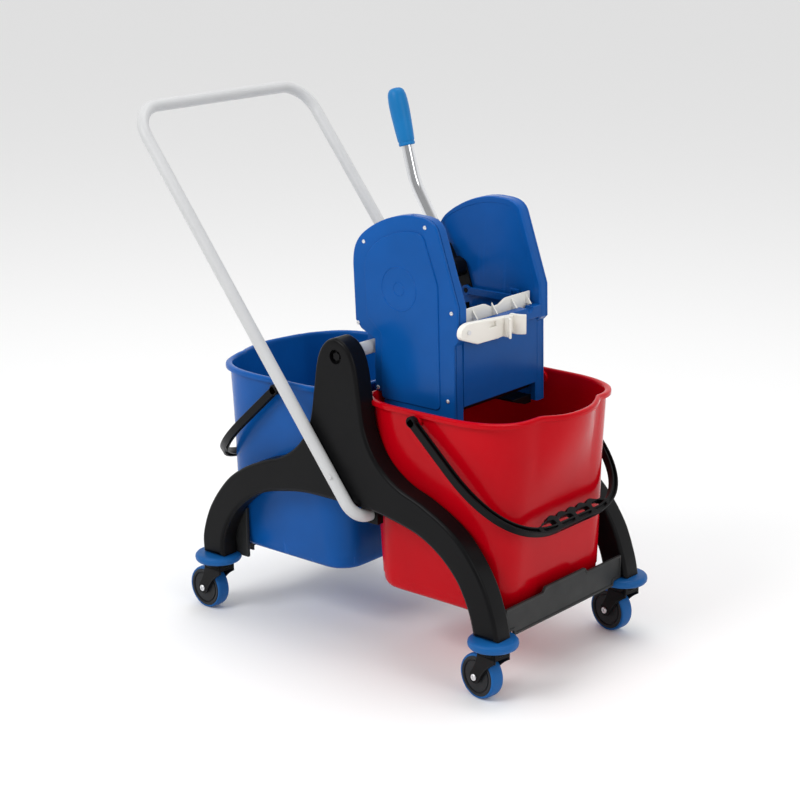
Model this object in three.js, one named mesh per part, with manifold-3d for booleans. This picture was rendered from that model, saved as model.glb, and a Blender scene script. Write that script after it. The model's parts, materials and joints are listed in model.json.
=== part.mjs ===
// Double-bucket mop trolley with a lever wringer.
// Millimetres. +X points to the front bucket, +Y to the trolley's own left, +Z up.
// The origin is on the floor under the middle of the whole trolley.

import * as THREE from 'three';
import { mergeVertices } from 'three/addons/utils/BufferGeometryUtils.js';
import Module from 'manifold-3d';

const wasm = await Module();
wasm.setup();

// ---------------------------------------------------------------- driving dimensions

const GAP = 0.3; // clearance between pieces that touch
const CHASSIS_SHIFT = 54.2; // from the middle of the whole trolley to the middle of its chassis
const FLOOR = 4; // height of the floor above the plane that the trolley is drawn from

const frame = {
  outer: 193, // outer face of a side frame, from the middle plane
  inner: 155,
  footZ: 110,
  archZ: 269,
  towerZ: 538,
  middleX: -4.5, // the tower and the arch stand a little behind the middle of the feet
  bevel: 4,
  ledgeZ: 276, // top of the ledge that carries a bucket
  ledgeIn: 152,
};

const beam = { face: 307, thick: 4, low: 102, high: 150, crest: 163, ledge: 34 };
const tube = { radius: 11, wall: 1.6 };
const cross = { x: -3, z: 508 };

const handle = {
  topX: -436,
  topZ: 861,
  lowX: 44,
  lowZ: 252,
  y: 204.5,
  endY: 155.5, // where its turned-in ends stop
  topBend: 55,
  lowBend: 34,
};

const caster = { x: 299, y: 176, axleZ: 41, wheel: 37, width: 24, trail: 25 };
const casterYaw = { front: THREE.MathUtils.degToRad(-8), rear: THREE.MathUtils.degToRad(-2) };
const bumper = { radius: 40, low: 95.5, high: 109.6 };

const bucket = {
  low: 119,
  high: 440,
  wall: 3,
  lip: 6.5,
  lipHeight: 8,
  top: { rear: 16.5, front: 303, half: 164, rearX: 84, rearY: 42, frontX: 118, frontY: 96 },
  bottom: { rear: 26, front: 286, half: 139, rearX: 42, rearY: 40, frontX: 46, frontY: 46 },
  spoutReach: 28.5, // how far the pouring lip stands out in front
  spoutHalf: 76,
  rearShift: -12, // the rear bucket sits this much further from the cross tube
};

const bail = {
  x: 140,
  z: 425,
  y: 177,
  reach: 249,
  drop: THREE.MathUtils.degToRad(42),
  width: 11,
  thick: 14,
  grip: 18, // width of the hand grip
};

const wringer = {
  outer: 116, // outer face of a side cover
  cover: 6,
  inner: 94, // inner face of a side casing
  foot: 404,
  shaftX: 20,
  shaftZ: 609,
};

const jaw = { hingeX: 158, hingeZ: 432, top: 587, dip: 579, face: 164, thick: 3.5, half: 90.5 };
const crank = { reach: 42, angle: THREE.MathUtils.degToRad(-65), pin: 4 };
const linkPinX = 137;
const lever = { y: 75, tube: 10, bendX: -63, bendZ: 741, topX: -104, topZ: 893, gripLength: 96 };
const drive = { crankNear: 88.6, crankFar: 92.6, linkNear: 83, linkFar: 88, lugNear: 78, lugFar: 82 };
const clip = { back: 186, thick: 10, pivotY: -108, z: 561.5 };

// ---------------------------------------------------------------- materials

const finish = {
  frameBlack: { color: 0x232426, roughness: 0.6, metalness: 0 },
  beamGrey: { color: 0x35373a, roughness: 0.6, metalness: 0 },
  blue: { color: 0x1450ad, roughness: 0.35, metalness: 0 },
  blueTyre: { color: 0x1b62b5, roughness: 0.55, metalness: 0 },
  red: { color: 0xd0101c, roughness: 0.25, metalness: 0 },
  white: { color: 0xece9e2, roughness: 0.45, metalness: 0 },
  paint: { color: 0xdcdee0, roughness: 0.35, metalness: 0.1 },
  chrome: { color: 0xd8dadd, roughness: 0.12, metalness: 1 },
  steel: { color: 0xa7abb0, roughness: 0.35, metalness: 1 },
  hubGrey: { color: 0x2c2e31, roughness: 0.5, metalness: 0 },
};

// ---------------------------------------------------------------- solids

function toSolid(geometry) {
  const bare = geometry.clone();
  bare.deleteAttribute('normal');
  bare.deleteAttribute('uv');
  const merged = mergeVertices(bare, 1e-4);
  const mesh = new wasm.Mesh({
    numProp: 3,
    vertProperties: new Float32Array(merged.attributes.position.array),
    triVerts: new Uint32Array(merged.index.array),
  });
  return new wasm.Manifold(mesh);
}

function toGeometry(solid) {
  const { vertProperties, triVerts } = solid.getMesh();
  const geometry = new THREE.BufferGeometry();
  geometry.setAttribute('position', new THREE.BufferAttribute(new Float32Array(vertProperties), 3));
  geometry.setIndex(new THREE.BufferAttribute(new Uint32Array(triVerts), 1));
  geometry.computeVertexNormals();
  return geometry;
}

function join(first, ...rest) {
  return toGeometry(rest.reduce((sum, next) => sum.add(toSolid(next)), toSolid(first)));
}

function cut(body, ...tools) {
  return toGeometry(tools.reduce((left, tool) => left.subtract(toSolid(tool)), toSolid(body)));
}

function part(name, geometry, look) {
  const mesh = new THREE.Mesh(geometry, new THREE.MeshStandardMaterial(look));
  mesh.name = name;
  return mesh;
}

function group(...children) {
  const made = new THREE.Group();
  made.add(...children);
  return made;
}

function box(x0, x1, y0, y1, z0, z1) {
  const geometry = new THREE.BoxGeometry(x1 - x0, y1 - y0, z1 - z0);
  return geometry.translate((x0 + x1) / 2, (y0 + y1) / 2, (z0 + z1) / 2);
}

// A round bar along Y.
function rodY(radius, y0, y1, x, z, sides = 16) {
  return new THREE.CylinderGeometry(radius, radius, y1 - y0, sides).translate(x, (y0 + y1) / 2, z);
}

// A round bar along X.
function rodX(radius, x0, x1, y, z, sides = 16) {
  return new THREE.CylinderGeometry(radius, radius, x1 - x0, sides)
    .rotateZ(Math.PI / 2)
    .translate((x0 + x1) / 2, y, z);
}

// A round bar along Z.
function rodZ(radius, z0, z1, x = 0, y = 0, sides = 16) {
  return new THREE.CylinderGeometry(radius, radius, z1 - z0, sides)
    .rotateX(Math.PI / 2)
    .translate(x, y, (z0 + z1) / 2);
}

// A shape drawn in X and Z, given thickness along Y from y0 to y1.
function slabXZ(shape, y0, y1, bevel = 0, curveSegments = 8) {
  const options = {
    depth: y1 - y0 - 2 * bevel,
    steps: 1,
    curveSegments,
    bevelEnabled: bevel > 0,
    bevelThickness: bevel,
    bevelSize: bevel,
    bevelOffset: -bevel,
    bevelSegments: 1,
  };
  return new THREE.ExtrudeGeometry(shape, options).rotateX(Math.PI / 2).translate(0, y1 - bevel, 0);
}

// A shape drawn in Y and Z, given thickness along X from x0 to x1.
function slabYZ(shape, x0, x1) {
  const options = { depth: x1 - x0, steps: 1, bevelEnabled: false, curveSegments: 8 };
  return new THREE.ExtrudeGeometry(shape, options)
    .rotateX(Math.PI / 2)
    .rotateZ(Math.PI / 2)
    .translate(x0, 0, 0);
}

// Two positions in ascending order.
function between(a, b) {
  return [Math.min(a, b), Math.max(a, b)];
}

function polygon(points) {
  return new THREE.Shape(points.map(([a, b]) => new THREE.Vector2(a, b)));
}

// A solid of revolution about Y from a closed profile of [radius, y] points.
function ringY(profile, sides) {
  const closed = [...profile, profile[0]].map(([r, y]) => new THREE.Vector2(r, y));
  return toGeometry(outward(new THREE.LatheGeometry(closed, sides)));
}

// A solid of revolution about Z from a closed profile of [radius, z] points.
function ringZ(profile, sides) {
  return ringY(profile, sides).rotateX(Math.PI / 2);
}

// Turns a closed surface right side out.
function outward(geometry) {
  const solid = toSolid(geometry);
  if (solid.volume() > 0) return solid;
  const flipped = geometry.clone();
  const index = flipped.index.array;
  for (let i = 0; i < index.length; i += 3) [index[i], index[i + 1]] = [index[i + 1], index[i]];
  return toSolid(flipped);
}

// A route made of straight runs and round bends, with one station at each end of a run
// and a few round each bend.
class BentRoute extends THREE.Curve {
  constructor(corners, radii, bendSteps) {
    super();
    this.stations = [corners[0]];
    corners.slice(1, -1).forEach((corner, i) => {
      this.stations.push(...bendPoints(corners[i], corner, corners[i + 2], radii[i], bendSteps));
    });
    this.stations.push(corners[corners.length - 1]);
  }

  getPoint(t) {
    const at = t * (this.stations.length - 1);
    const i = Math.min(Math.floor(at), this.stations.length - 2);
    return this.stations[i].clone().lerp(this.stations[i + 1], at - i);
  }

  getPointAt(t) {
    return this.getPoint(t);
  }

  // The mean of the two runs that meet at a station, so each ring bisects its joint.
  getTangentAt(t) {
    const last = this.stations.length - 1;
    const i = Math.round(t * last);
    const before = this.stations[Math.max(i - 1, 0)];
    const here = this.stations[i];
    const after = this.stations[Math.min(i + 1, last)];
    const into = here.clone().sub(before).normalize();
    const out = after.clone().sub(here).normalize();
    return into.add(out).normalize();
  }

  getSpacedPoints() {
    return this.stations;
  }
}

// Points on the arc of a radius that rounds a corner.
function bendPoints(before, corner, after, radius, steps) {
  const into = corner.clone().sub(before).normalize();
  const out = after.clone().sub(corner).normalize();
  const turn = into.angleTo(out);
  const start = corner.clone().addScaledVector(into, -radius * Math.tan(turn / 2));
  const side = out.clone().addScaledVector(into, -out.dot(into)).normalize();
  return Array.from({ length: steps + 1 }, (_, i) => {
    const angle = (turn * i) / steps;
    return start
      .clone()
      .addScaledVector(into, radius * Math.sin(angle))
      .addScaledVector(side, radius * (1 - Math.cos(angle)));
  });
}

function circle(radius, sides) {
  const points = Array.from({ length: sides }, (_, i) => {
    const angle = ((i + 0.5) * 2 * Math.PI) / sides;
    return new THREE.Vector2(radius * Math.cos(angle), radius * Math.sin(angle));
  });
  return points;
}

// A round tube along a route, open at both ends; wall 0 makes it solid.
function tubeAlong(corners, radii, radius, wall, sides = 10, bendSteps = 4) {
  const route = new BentRoute(corners, radii, bendSteps);
  const section = new THREE.Shape(circle(radius, sides));
  if (wall > 0) section.holes.push(new THREE.Path(circle(radius - wall, sides).reverse()));
  const steps = route.stations.length - 1;
  return new THREE.ExtrudeGeometry(section, { steps, extrudePath: route, bevelEnabled: false });
}

// Skins a stack of rings with the same number of points, and closes both ends.
function loft(rings) {
  const count = rings[0].length;
  const centre = (ring) => ring.reduce((sum, p) => sum.clone().add(p)).divideScalar(count);
  const points = [...rings.flat(), centre(rings[0]), centre(rings[rings.length - 1])];
  const firstHub = rings.length * count;
  const index = [];
  for (let i = 0; i < count; i++) {
    const next = (i + 1) % count;
    for (let level = 0; level + 1 < rings.length; level++) {
      const a = level * count + i;
      const b = level * count + next;
      index.push(a, b, b + count, a, b + count, a + count);
    }
    const top = (rings.length - 1) * count;
    index.push(firstHub, next, i, firstHub + 1, top + i, top + next);
  }
  const geometry = new THREE.BufferGeometry().setFromPoints(points);
  geometry.setIndex(index);
  return toGeometry(outward(geometry));
}

// ---------------------------------------------------------------- chassis

// One leg of a side frame, from its foot: first its outside up to the tower, then its inside to the arch.
const legOutside = [
  [319, 110], [315, 145], [295, 197], [259, 246], [222, 276], [172, 301], [130, 316],
  [98, 336], [74, 362], [57, 398], [48, 450], [40, 494], [24, 526],
];
const legInside = [[272, 110], [266, 147], [244, 190], [210, 224], [168, 248], [118, 261], [70, 268]];

// A leg's edge as a smooth line that ends at the middle of the frame.
function legEdge(points, end, topZ, steps) {
  const { middleX, footZ } = frame;
  const path = points.map(([x, z]) => v2(end * x + middleX * Math.min((z - footZ) / 40, 1), z));
  return new THREE.SplineCurve([...path, v2(middleX, topZ)]).getPoints(steps);
}

// The upside-down Y of a side frame: two arched legs and a tower.
function sideFrameShape() {
  const { towerZ, archZ } = frame;
  const outside = (end) => legEdge(legOutside, end, towerZ, 26);
  const inside = (end) => legEdge(legInside, end, archZ, 14);
  return new THREE.Shape([
    ...outside(1),
    ...outside(-1).reverse().slice(1),
    ...inside(-1),
    ...inside(1).reverse().slice(1),
  ]);
}

function sideFrame(side) {
  const { outer, inner, bevel, footZ, ledgeZ, ledgeIn } = frame;
  const span = side < 0 ? [-outer, -inner] : [inner, outer];
  const ledgeSpan = side < 0 ? [-inner - 1, -ledgeIn] : [ledgeIn, inner + 1];
  const bores = [-1, 1].map((end) => rodZ(5.4, footZ - 5, footZ + 42, end * caster.x, side * caster.y, 12));
  const recess = side < 0 ? [-outer - 1, -outer + 9] : [outer - 9, outer + 1];
  const ledges = [-1, 1].map((end) =>
    box(...between(end * 70, end * 150), ...ledgeSpan, ledgeZ - 7, ledgeZ)
  );
  const notchSpan = side < 0 ? [-outer - 1, -outer + 6] : [outer - 6, outer + 1];
  const handleNotch = box(handle.lowX - 25, handle.lowX + 3, ...notchSpan, 255, 279);
  const body = join(slabXZ(sideFrameShape(), ...span, bevel, 5), ...ledges);
  const reliefs = [bucketRelief(), bucketRelief().rotateZ(Math.PI).translate(bucket.rearShift, 0, 0)];
  return cut(body, ...bores, ...reliefs, handleNotch, rodY(11, ...recess, cross.x, cross.z, 20));
}

// The room a bucket needs as it is lifted out.
function bucketRelief() {
  const { high, lip, lipHeight } = bucket;
  return loft([
    bucketRing(290, 1.5, 0),
    bucketRing(high - lipHeight - 2, 1.5, 0),
    bucketRing(high - lipHeight - 1, lip + 1, 0),
    bucketRing(frame.towerZ + 10, lip + 1, 0),
  ]);
}

// A beam between two feet: a face panel with a raised middle, and a ledge behind it.
function endBeam() {
  const { face, thick, low, high, crest, ledge } = beam;
  const half = frame.inner - GAP;
  const clear = caster.y - bumper.radius - 3; // the panel's lower edge passes between the bumper discs
  const outline = [
    [-half, frame.footZ + 1],
    [-clear, frame.footZ + 1],
    [-clear + 8, low],
    [clear - 8, low],
    [clear, frame.footZ + 1],
    [half, frame.footZ + 1],
    [half, high],
    [62, high],
    [42, crest],
    [-42, crest],
    [-62, high],
    [-half, high],
  ];
  const panel = slabYZ(polygon(outline), face - thick, face);
  return join(panel, box(face - thick - ledge, face - thick + 1, -clear, clear, low + 9, bucket.low - 5));
}

function handleCorners() {
  const { topX, topZ, lowX, lowZ, y, endY } = handle;
  return [
    new THREE.Vector3(lowX, -endY, lowZ),
    new THREE.Vector3(lowX, -y, lowZ),
    new THREE.Vector3(topX, -y, topZ),
    new THREE.Vector3(topX, y, topZ),
    new THREE.Vector3(lowX, y, lowZ),
    new THREE.Vector3(lowX, endY, lowZ),
  ];
}

// The block under a side frame that holds the turned-in end of the handle.
function handleClamp(side) {
  const { lowX, lowZ } = handle;
  const [near, far] = [156.5, 170];
  const span = side < 0 ? [-far, -near] : [near, far];
  const block = box(lowX - 17, lowX + 17, ...span, lowZ - 15, frame.archZ - 5);
  const bore = rodY(tube.radius + GAP, span[0] - 1, span[1] + 1, lowX, lowZ, 24);
  const underFrame = slabXZ(sideFrameShape(), -far - 2, far + 2).translate(0, 0, -GAP);
  return cut(block, bore, underFrame);
}

function chassis() {
  const { radius, wall } = tube;
  const { outer, inner } = frame;
  const { lowBend, topBend, y } = handle;
  const half = inner - GAP;
  const crossTube = cut(
    rodY(radius, -half, half, cross.x, cross.z, 20),
    rodY(radius - wall, -half - 1, half + 1, cross.x, cross.z, 20)
  );
  const pipe = tubeAlong(handleCorners(), [lowBend, topBend, topBend, lowBend], radius, wall);
  const screwZ = 316;
  const slope = (handle.lowX - handle.topX) / (handle.topZ - handle.lowZ);
  const screwX = handle.lowX - (screwZ - handle.lowZ) * slope;
  const pieces = [
    part('front_beam', endBeam(), finish.beamGrey),
    part('rear_beam', endBeam().rotateZ(Math.PI), finish.beamGrey),
    part('upper_cross_tube', crossTube, finish.paint),
    part('push_handle', pipe, finish.paint),
  ];
  [['right', -1], ['left', 1]].forEach(([label, side]) => {
    const bolt = rodY(7, outer - 9 + GAP, outer - 3, side * cross.x, cross.z, 6);
    const screw = rodY(4.5, y + radius + GAP, y + radius + 4, side * screwX, screwZ, 12);
    pieces.push(
      part(`side_frame_${label}`, sideFrame(side), finish.frameBlack),
      part(`cross_tube_bolt_${label}`, side > 0 ? bolt : bolt.rotateZ(Math.PI), finish.frameBlack),
      part(`handle_clamp_${label}`, handleClamp(side), finish.frameBlack),
      part(`handle_screw_${label}`, side > 0 ? screw : screw.rotateZ(Math.PI), finish.steel)
    );
  });
  return group(...pieces);
}

// ---------------------------------------------------------------- casters

// A fork with its kingpin, drawn about the swivel axis, the wheel trailing towards -X.
function casterFork() {
  const { axleZ, width, trail } = caster;
  const inside = width / 2 + 1.2;
  const outside = inside + 4;
  const cheekShape = polygon([
    [20, 92],
    [-16, 92],
    [-24, 58],
    [-34, 46],
    [-35, 37],
    [-29, 31],
    [-21, 31],
    [-15, 37],
    [2, 60],
    [20, 72],
  ]);
  const cheeks = [slabXZ(cheekShape, -outside, -inside), slabXZ(cheekShape, inside, outside)];
  const crown = rodZ(22, 84, bumper.low - GAP, 0, 0, 16);
  const bridge = box(-16, 20, -outside, outside, 84, 92);
  const kingpin = rodZ(5, 90, frame.footZ + 36, 0, 0, 10);
  const body = join(crown, bridge, kingpin, ...cheeks);
  return cut(body, rodY(4 + GAP, -outside - 1, outside + 1, -trail, axleZ, 10));
}

function wheelHub() {
  const inner = 4 + GAP;
  const rim = caster.wheel - 4.3;
  const half = [[inner, 13], [13, 13], [15, 9], [rim, 12]];
  return ringY([...half.map(([r, y]) => [r, -y]), ...half.reverse()], 20);
}

function wheelTyre() {
  const { wheel, width } = caster;
  const half = width / 2;
  const flat = wheel / Math.cos(Math.PI / 24); // corners of the 24-sided tread, its flats at the wheel radius
  const [bore, edge] = [wheel - 4, wheel - 2.5];
  const side = [[bore, half], [edge, half], [flat, half - 3]];
  const profile = [...side.map(([r, y]) => [r, -y]), ...side.reverse()];
  return ringY(profile, 24).rotateY(Math.PI / 24);
}

function casterAt(label, x, y, yaw) {
  const { axleZ, trail } = caster;
  const { radius, low, high } = bumper;
  const profile = [[5.4, low], [36, low], [radius, low + 4], [radius, high - 4], [36, high], [5.4, high]];
  const disc = ringZ(profile, 20);
  const atWheel = (geometry) => geometry.translate(-trail, 0, axleZ);
  const made = group(
    part(`caster_bumper_${label}`, disc, finish.blueTyre),
    part(`caster_fork_${label}`, casterFork(), finish.frameBlack),
    part(`caster_axle_${label}`, rodY(4, -19.5, 19.5, -trail, axleZ, 10), finish.steel),
    part(`wheel_hub_${label}`, atWheel(wheelHub()), finish.hubGrey),
    part(`wheel_tyre_${label}`, atWheel(wheelTyre()), finish.blueTyre)
  );
  made.position.set(x, y, 0);
  made.rotation.z = yaw;
  return made;
}

function casters() {
  const ends = [['front', 1], ['rear', -1]];
  const sides = [['right', -1], ['left', 1]];
  const all = ends.flatMap(([end, ex]) =>
    sides.map(([side, sy]) => casterAt(`${end}_${side}`, ex * caster.x, sy * caster.y, casterYaw[end]))
  );
  return group(...all);
}

// ---------------------------------------------------------------- buckets

const smooth = (t) => t * t * (3 - 2 * t);
const mix = (a, b, t) => a + (b - a) * t;

// One level of the bucket, as a closed ring of points. out grows the ring; spout runs from 0 to 1.
function bucketRing(z, out, spout) {
  const { low, high, top, bottom, spoutHalf, spoutReach } = bucket;
  const t = THREE.MathUtils.clamp((z - low) / (high - low), 0, 1);
  const at = (key) => mix(bottom[key], top[key], t);
  const rear = at('rear') - out;
  const front = at('front') + out;
  const half = at('half') + out;
  const [rx, ry, fx, fy] = [at('rearX'), at('rearY'), at('frontX'), at('frontY')];
  const tip = v2(front + spoutReach * spout, 0);
  const kink = v2(front + 6 * spout, mix(half - fy, spoutHalf, spout));
  const shoulder = v2(front - 3 * spout, half - fy * 0.44);
  const curves = [
    [new THREE.LineCurve(v2(rear, 0), v2(rear, half - ry)), 1],
    [bend(v2(rear, half - ry), v2(rear, half - ry * 0.5), v2(rear + rx * 0.4, half), v2(rear + rx, half)), 5],
    [new THREE.LineCurve(v2(rear + rx, half), v2(front - fx, half)), 1],
    [bend(v2(front - fx, half), v2(front - fx * 0.4, half), shoulder, kink), 7],
    [bend(kink, v2(front + 20 * spout, kink.y * 0.66), v2(tip.x, kink.y * 0.4), tip), 4],
  ];
  const side = curves.flatMap(([curve, steps]) => curve.getPoints(steps).slice(0, -1));
  const otherSide = side.slice(1).map((p) => v2(p.x, -p.y)).reverse();
  return [...side, tip, ...otherSide].map((p) => new THREE.Vector3(p.x, p.y, z));
}

function bend(...points) {
  return new THREE.CubicBezierCurve(...points);
}

function v2(x, y) {
  return new THREE.Vector2(x, y);
}

function bucketShell() {
  const { low, high, wall, lip, lipHeight } = bucket;
  const spoutAt = (z) => smooth(THREE.MathUtils.clamp((z - 290) / (high - 290), 0, 1));
  const ring = (z, out) => bucketRing(z, out, spoutAt(z));
  const outside = [
    ring(low, -12),
    ring(low + 3, -4),
    ring(low + 12, 0),
    ...[290, 340, 385, high - lipHeight].map((z) => ring(z, 0)),
    ring(high - lipHeight, lip),
    ring(high - 2, lip),
    ring(high, lip - 2),
  ];
  const inside = [
    ring(high, -wall + 1),
    ring(high - 3, -wall),
    ...[385, 340, 290, low + 14].map((z) => ring(z, -wall)),
    ring(low + wall + 3, -wall - 7),
    ring(low + wall, -wall - 15),
  ];
  return loft([...outside, ...inside]);
}

// A bucket with its bail ears and the rails that rest on the chassis ledges.
function bucketBody() {
  const { x, z } = bail;
  const railHalf = frame.inner - 0.6;
  const cavity = loft([
    bucketRing(bucket.low + 30, -2, 0),
    bucketRing(bucket.high - 20, -2, 0),
  ]);
  const ears = [-1, 1].map((side) => rodY(11, ...between(side * 155, side * 170.6), x, z, 16));
  const rails = [-1, 1].map((side) =>
    box(72, 148, ...between(side * 140, side * railHalf), frame.ledgeZ + GAP, frame.ledgeZ + 6)
  );
  const extras = cut(join(ears[0], ears[1], ...rails), cavity);
  return cut(join(bucketShell(), extras), rodY(4.4, -180, 180, x, z, 12));
}

// The outer edge of the bail's band round one corner, as the points that steer its curve.
function bailCorner(side) {
  const { y, reach, width } = bail;
  const out = width / 2;
  const arm = side * (y + out);
  return [[105, arm], [193, arm - side * 2], [reach + out - 3, side * 138], [reach + out, side * 56]];
}

// The carrying bail, flat in X and Y about its pivot, its grip at +X.
function bailShape() {
  const { y, reach, width, grip } = bail;
  const half = width / 2;
  const near = reach + half - grip;
  const shape = new THREE.Shape();
  shape.moveTo(-8, -y - half);
  const [start, ...turn] = bailCorner(-1);
  shape.lineTo(...start);
  shape.bezierCurveTo(...turn.flat());
  const [far, ...turnBack] = bailCorner(1).reverse();
  shape.lineTo(...far);
  shape.bezierCurveTo(...turnBack.flat());
  shape.lineTo(-8, y + half);
  shape.lineTo(-8, y - half);
  shape.lineTo(105, y - half);
  shape.bezierCurveTo(180, y - half - 2, near - 3, 138, near, 68);
  for (let bump = 2; bump >= -2; bump--) {
    const middle = bump * 26;
    shape.bezierCurveTo(near - 6, middle + 12, near - 6, middle - 12, near, middle - 13);
  }
  shape.bezierCurveTo(near - 3, -138, 180, -y + half + 2, 105, -y + half);
  shape.lineTo(-8, -y + half);
  shape.closePath();
  [-66, -22, 22, 66].forEach((middle) => {
    shape.holes.push(polygon(slotOutline(near + 4, near + grip - 4, middle - 18, middle + 18)));
  });
  return shape;
}

function slotOutline(x0, x1, y0, y1) {
  const c = 3;
  return [
    [x0 + c, y0], [x1 - c, y0], [x1, y0 + c], [x1, y1 - c],
    [x1 - c, y1], [x0 + c, y1], [x0, y1 - c], [x0, y0 + c],
  ];
}

function bailBody() {
  const { y, width, thick } = bail;
  const options = { depth: thick, steps: 1, bevelEnabled: false, curveSegments: 6 };
  const band = new THREE.ExtrudeGeometry(bailShape(), options).translate(0, 0, -thick / 2);
  const pins = [-1, 1].map((side) => {
    const ends = [side * 154, side * (y - width / 2 + 1)].sort((a, b) => a - b);
    return rodY(4, ...ends, 0, 0, 12);
  });
  return join(band, ...pins);
}

function bucketSet(label, look) {
  const hoop = part(`${label}_bail`, bailBody(), finish.frameBlack);
  hoop.position.set(bail.x, 0, bail.z);
  hoop.rotation.y = bail.drop;
  return group(part(`${label}_bucket`, bucketBody(), look), hoop);
}

function buckets() {
  const rear = bucketSet('rear', finish.blue);
  rear.rotation.z = Math.PI;
  rear.position.x = bucket.rearShift;
  return group(bucketSet('front', finish.red), rear);
}

// ---------------------------------------------------------------- wringer

// Side view of a casing: rounded top, sloping front edge, and a foot that drops into the bucket.
function casingShape(inset = 0) {
  const i = inset;
  const shape = new THREE.Shape();
  shape.moveTo(12 + i, 524 + i * 0.4);
  shape.lineTo(12 + i, 440 + i);
  shape.lineTo(30 + i, 440 + i);
  shape.lineTo(30 + i, wringer.foot + i);
  shape.lineTo(176 - i, wringer.foot + i);
  shape.lineTo(174 - i, 537);
  shape.lineTo(182 - i, 545);
  shape.lineTo(181 - i, 598 - i * 0.3);
  shape.lineTo(143 - i, 708 - i * 0.3);
  shape.bezierCurveTo(138 - i, 724 - i * 0.6, 126 - i * 0.6, 731 - i, 100, 731 - i);
  shape.bezierCurveTo(60, 735 - i, 10, 712 - i, -14, 690 - i * 0.7);
  shape.bezierCurveTo(-28 + i * 0.6, 676 - i * 0.7, -32 + i, 662, -32 + i, 640);
  shape.lineTo(-28 + i, 550 + i * 0.6);
  shape.lineTo(-16 + i * 0.5, 537 + i * 0.9);
  return shape;
}

// The raised panel on a side cover.
function panelShape() {
  const shape = new THREE.Shape();
  shape.moveTo(34, 430);
  shape.lineTo(140, 430);
  shape.lineTo(147, 437);
  shape.lineTo(143, 628);
  shape.lineTo(117, 696);
  shape.bezierCurveTo(113, 706, 104, 708, 90, 707);
  shape.bezierCurveTo(50, 704, 14, 684, 2, 664);
  shape.bezierCurveTo(-6, 652, -6, 645, -6, 632);
  shape.lineTo(-2, 560);
  shape.lineTo(27, 536);
  shape.lineTo(27, 437);
  return shape;
}

function sideCover(side) {
  const { outer, cover } = wringer;
  const span = side < 0 ? [-outer, -outer + cover - GAP] : [outer - cover + GAP, outer];
  const panelSpan = side < 0 ? [-outer - 1.5, -outer + 1] : [outer - 1, outer + 1.5];
  return join(slabXZ(casingShape(), ...span, 1.5, 5), slabXZ(panelShape(), ...panelSpan, 0.7, 4));
}

// A casing tray: hollow towards its cover, with the shaft's bearing in its inner wall.
function sideCasing(side) {
  const { outer, cover, inner, shaftX, shaftZ } = wringer;
  const open = outer - cover;
  const [near, far] = [inner, open];
  const span = side < 0 ? [-far, -near] : [near, far];
  const pocket = side < 0 ? [-far - 1, -near - 4] : [near + 4, far + 1];
  const boss = side < 0 ? [-far + 4, -near - 3] : [near + 3, far - 4];
  const bore = side < 0 ? [-far + 7, -near + 1] : [near - 1, far - 7];
  const tray = cut(slabXZ(casingShape(), ...span, 0, 5), slabXZ(casingShape(5), ...pocket, 0, 5));
  const hingeBore = side < 0 ? [-near - 3, -near + 1] : [near - 1, near + 3];
  return cut(
    join(tray, rodY(14, ...boss, shaftX, shaftZ, 16)),
    rodY(8 + GAP, ...bore, shaftX, shaftZ, 16),
    rodY(4 + GAP, ...hingeBore, jaw.hingeX, jaw.hingeZ, 12)
  );
}

// The front wall with its turned-out upper band and the rest notch for a handle.
function frontWall() {
  const half = wringer.inner - GAP;
  const wall = box(168, 176, -half, half, 436, 560);
  const band = box(168, 185, -half, half, 545, 567);
  const notch = rodX(8, 160, 190, 66, 567, 16);
  return cut(join(wall, band), notch);
}

// The plate that hangs the wringer on the cross tube, its slot open downwards.
function hookPlate(side) {
  const near = wringer.inner - GAP;
  const span = side < 0 ? [-near, -near + 5] : [near - 5, near];
  const outline = polygon([
    [-22, 500], [-14, 494], [8, 441], [60, 441], [60, 512], [48, 545], [-15, 545], [-22, 538],
  ]);
  const plate = slabXZ(outline, ...span);
  const slot = tube.radius + GAP;
  const opening = box(cross.x - slot, cross.x + slot, span[0] - 1, span[1] + 1, 430, cross.z);
  return cut(plate, opening, rodY(slot, span[0] - 1, span[1] + 1, cross.x, cross.z, 24));
}

function rearPressPlate() {
  const half = wringer.inner - 6;
  const plate = box(38, 42, -half, half, 420, 551);
  const slots = [-60, -36, -12, 12, 36, 60].map((y) => box(36, 44, y - 4, y + 4, 440, 540));
  return cut(plate, ...slots);
}

function drainGrid() {
  const half = wringer.inner - GAP;
  const plate = box(33 + GAP, 166, -half, half, 408, 414);
  const skirts = [-1, 1].map((side) => {
    const outline = side < 0
      ? [[-half, 400], [-half + 16, 400], [-half + 50, 410], [-half + 50, 414], [-half, 414]]
      : [[half, 400], [half, 414], [half - 50, 414], [half - 50, 410], [half - 16, 400]];
    return slabYZ(polygon(outline), 120, 166);
  });
  const slots = [-72, -48, -24, 0, 24, 48, 72].map((y) => box(48, 112, y - 4, y + 4, 400, 420));
  return cut(join(plate, ...skirts), ...slots);
}

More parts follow.
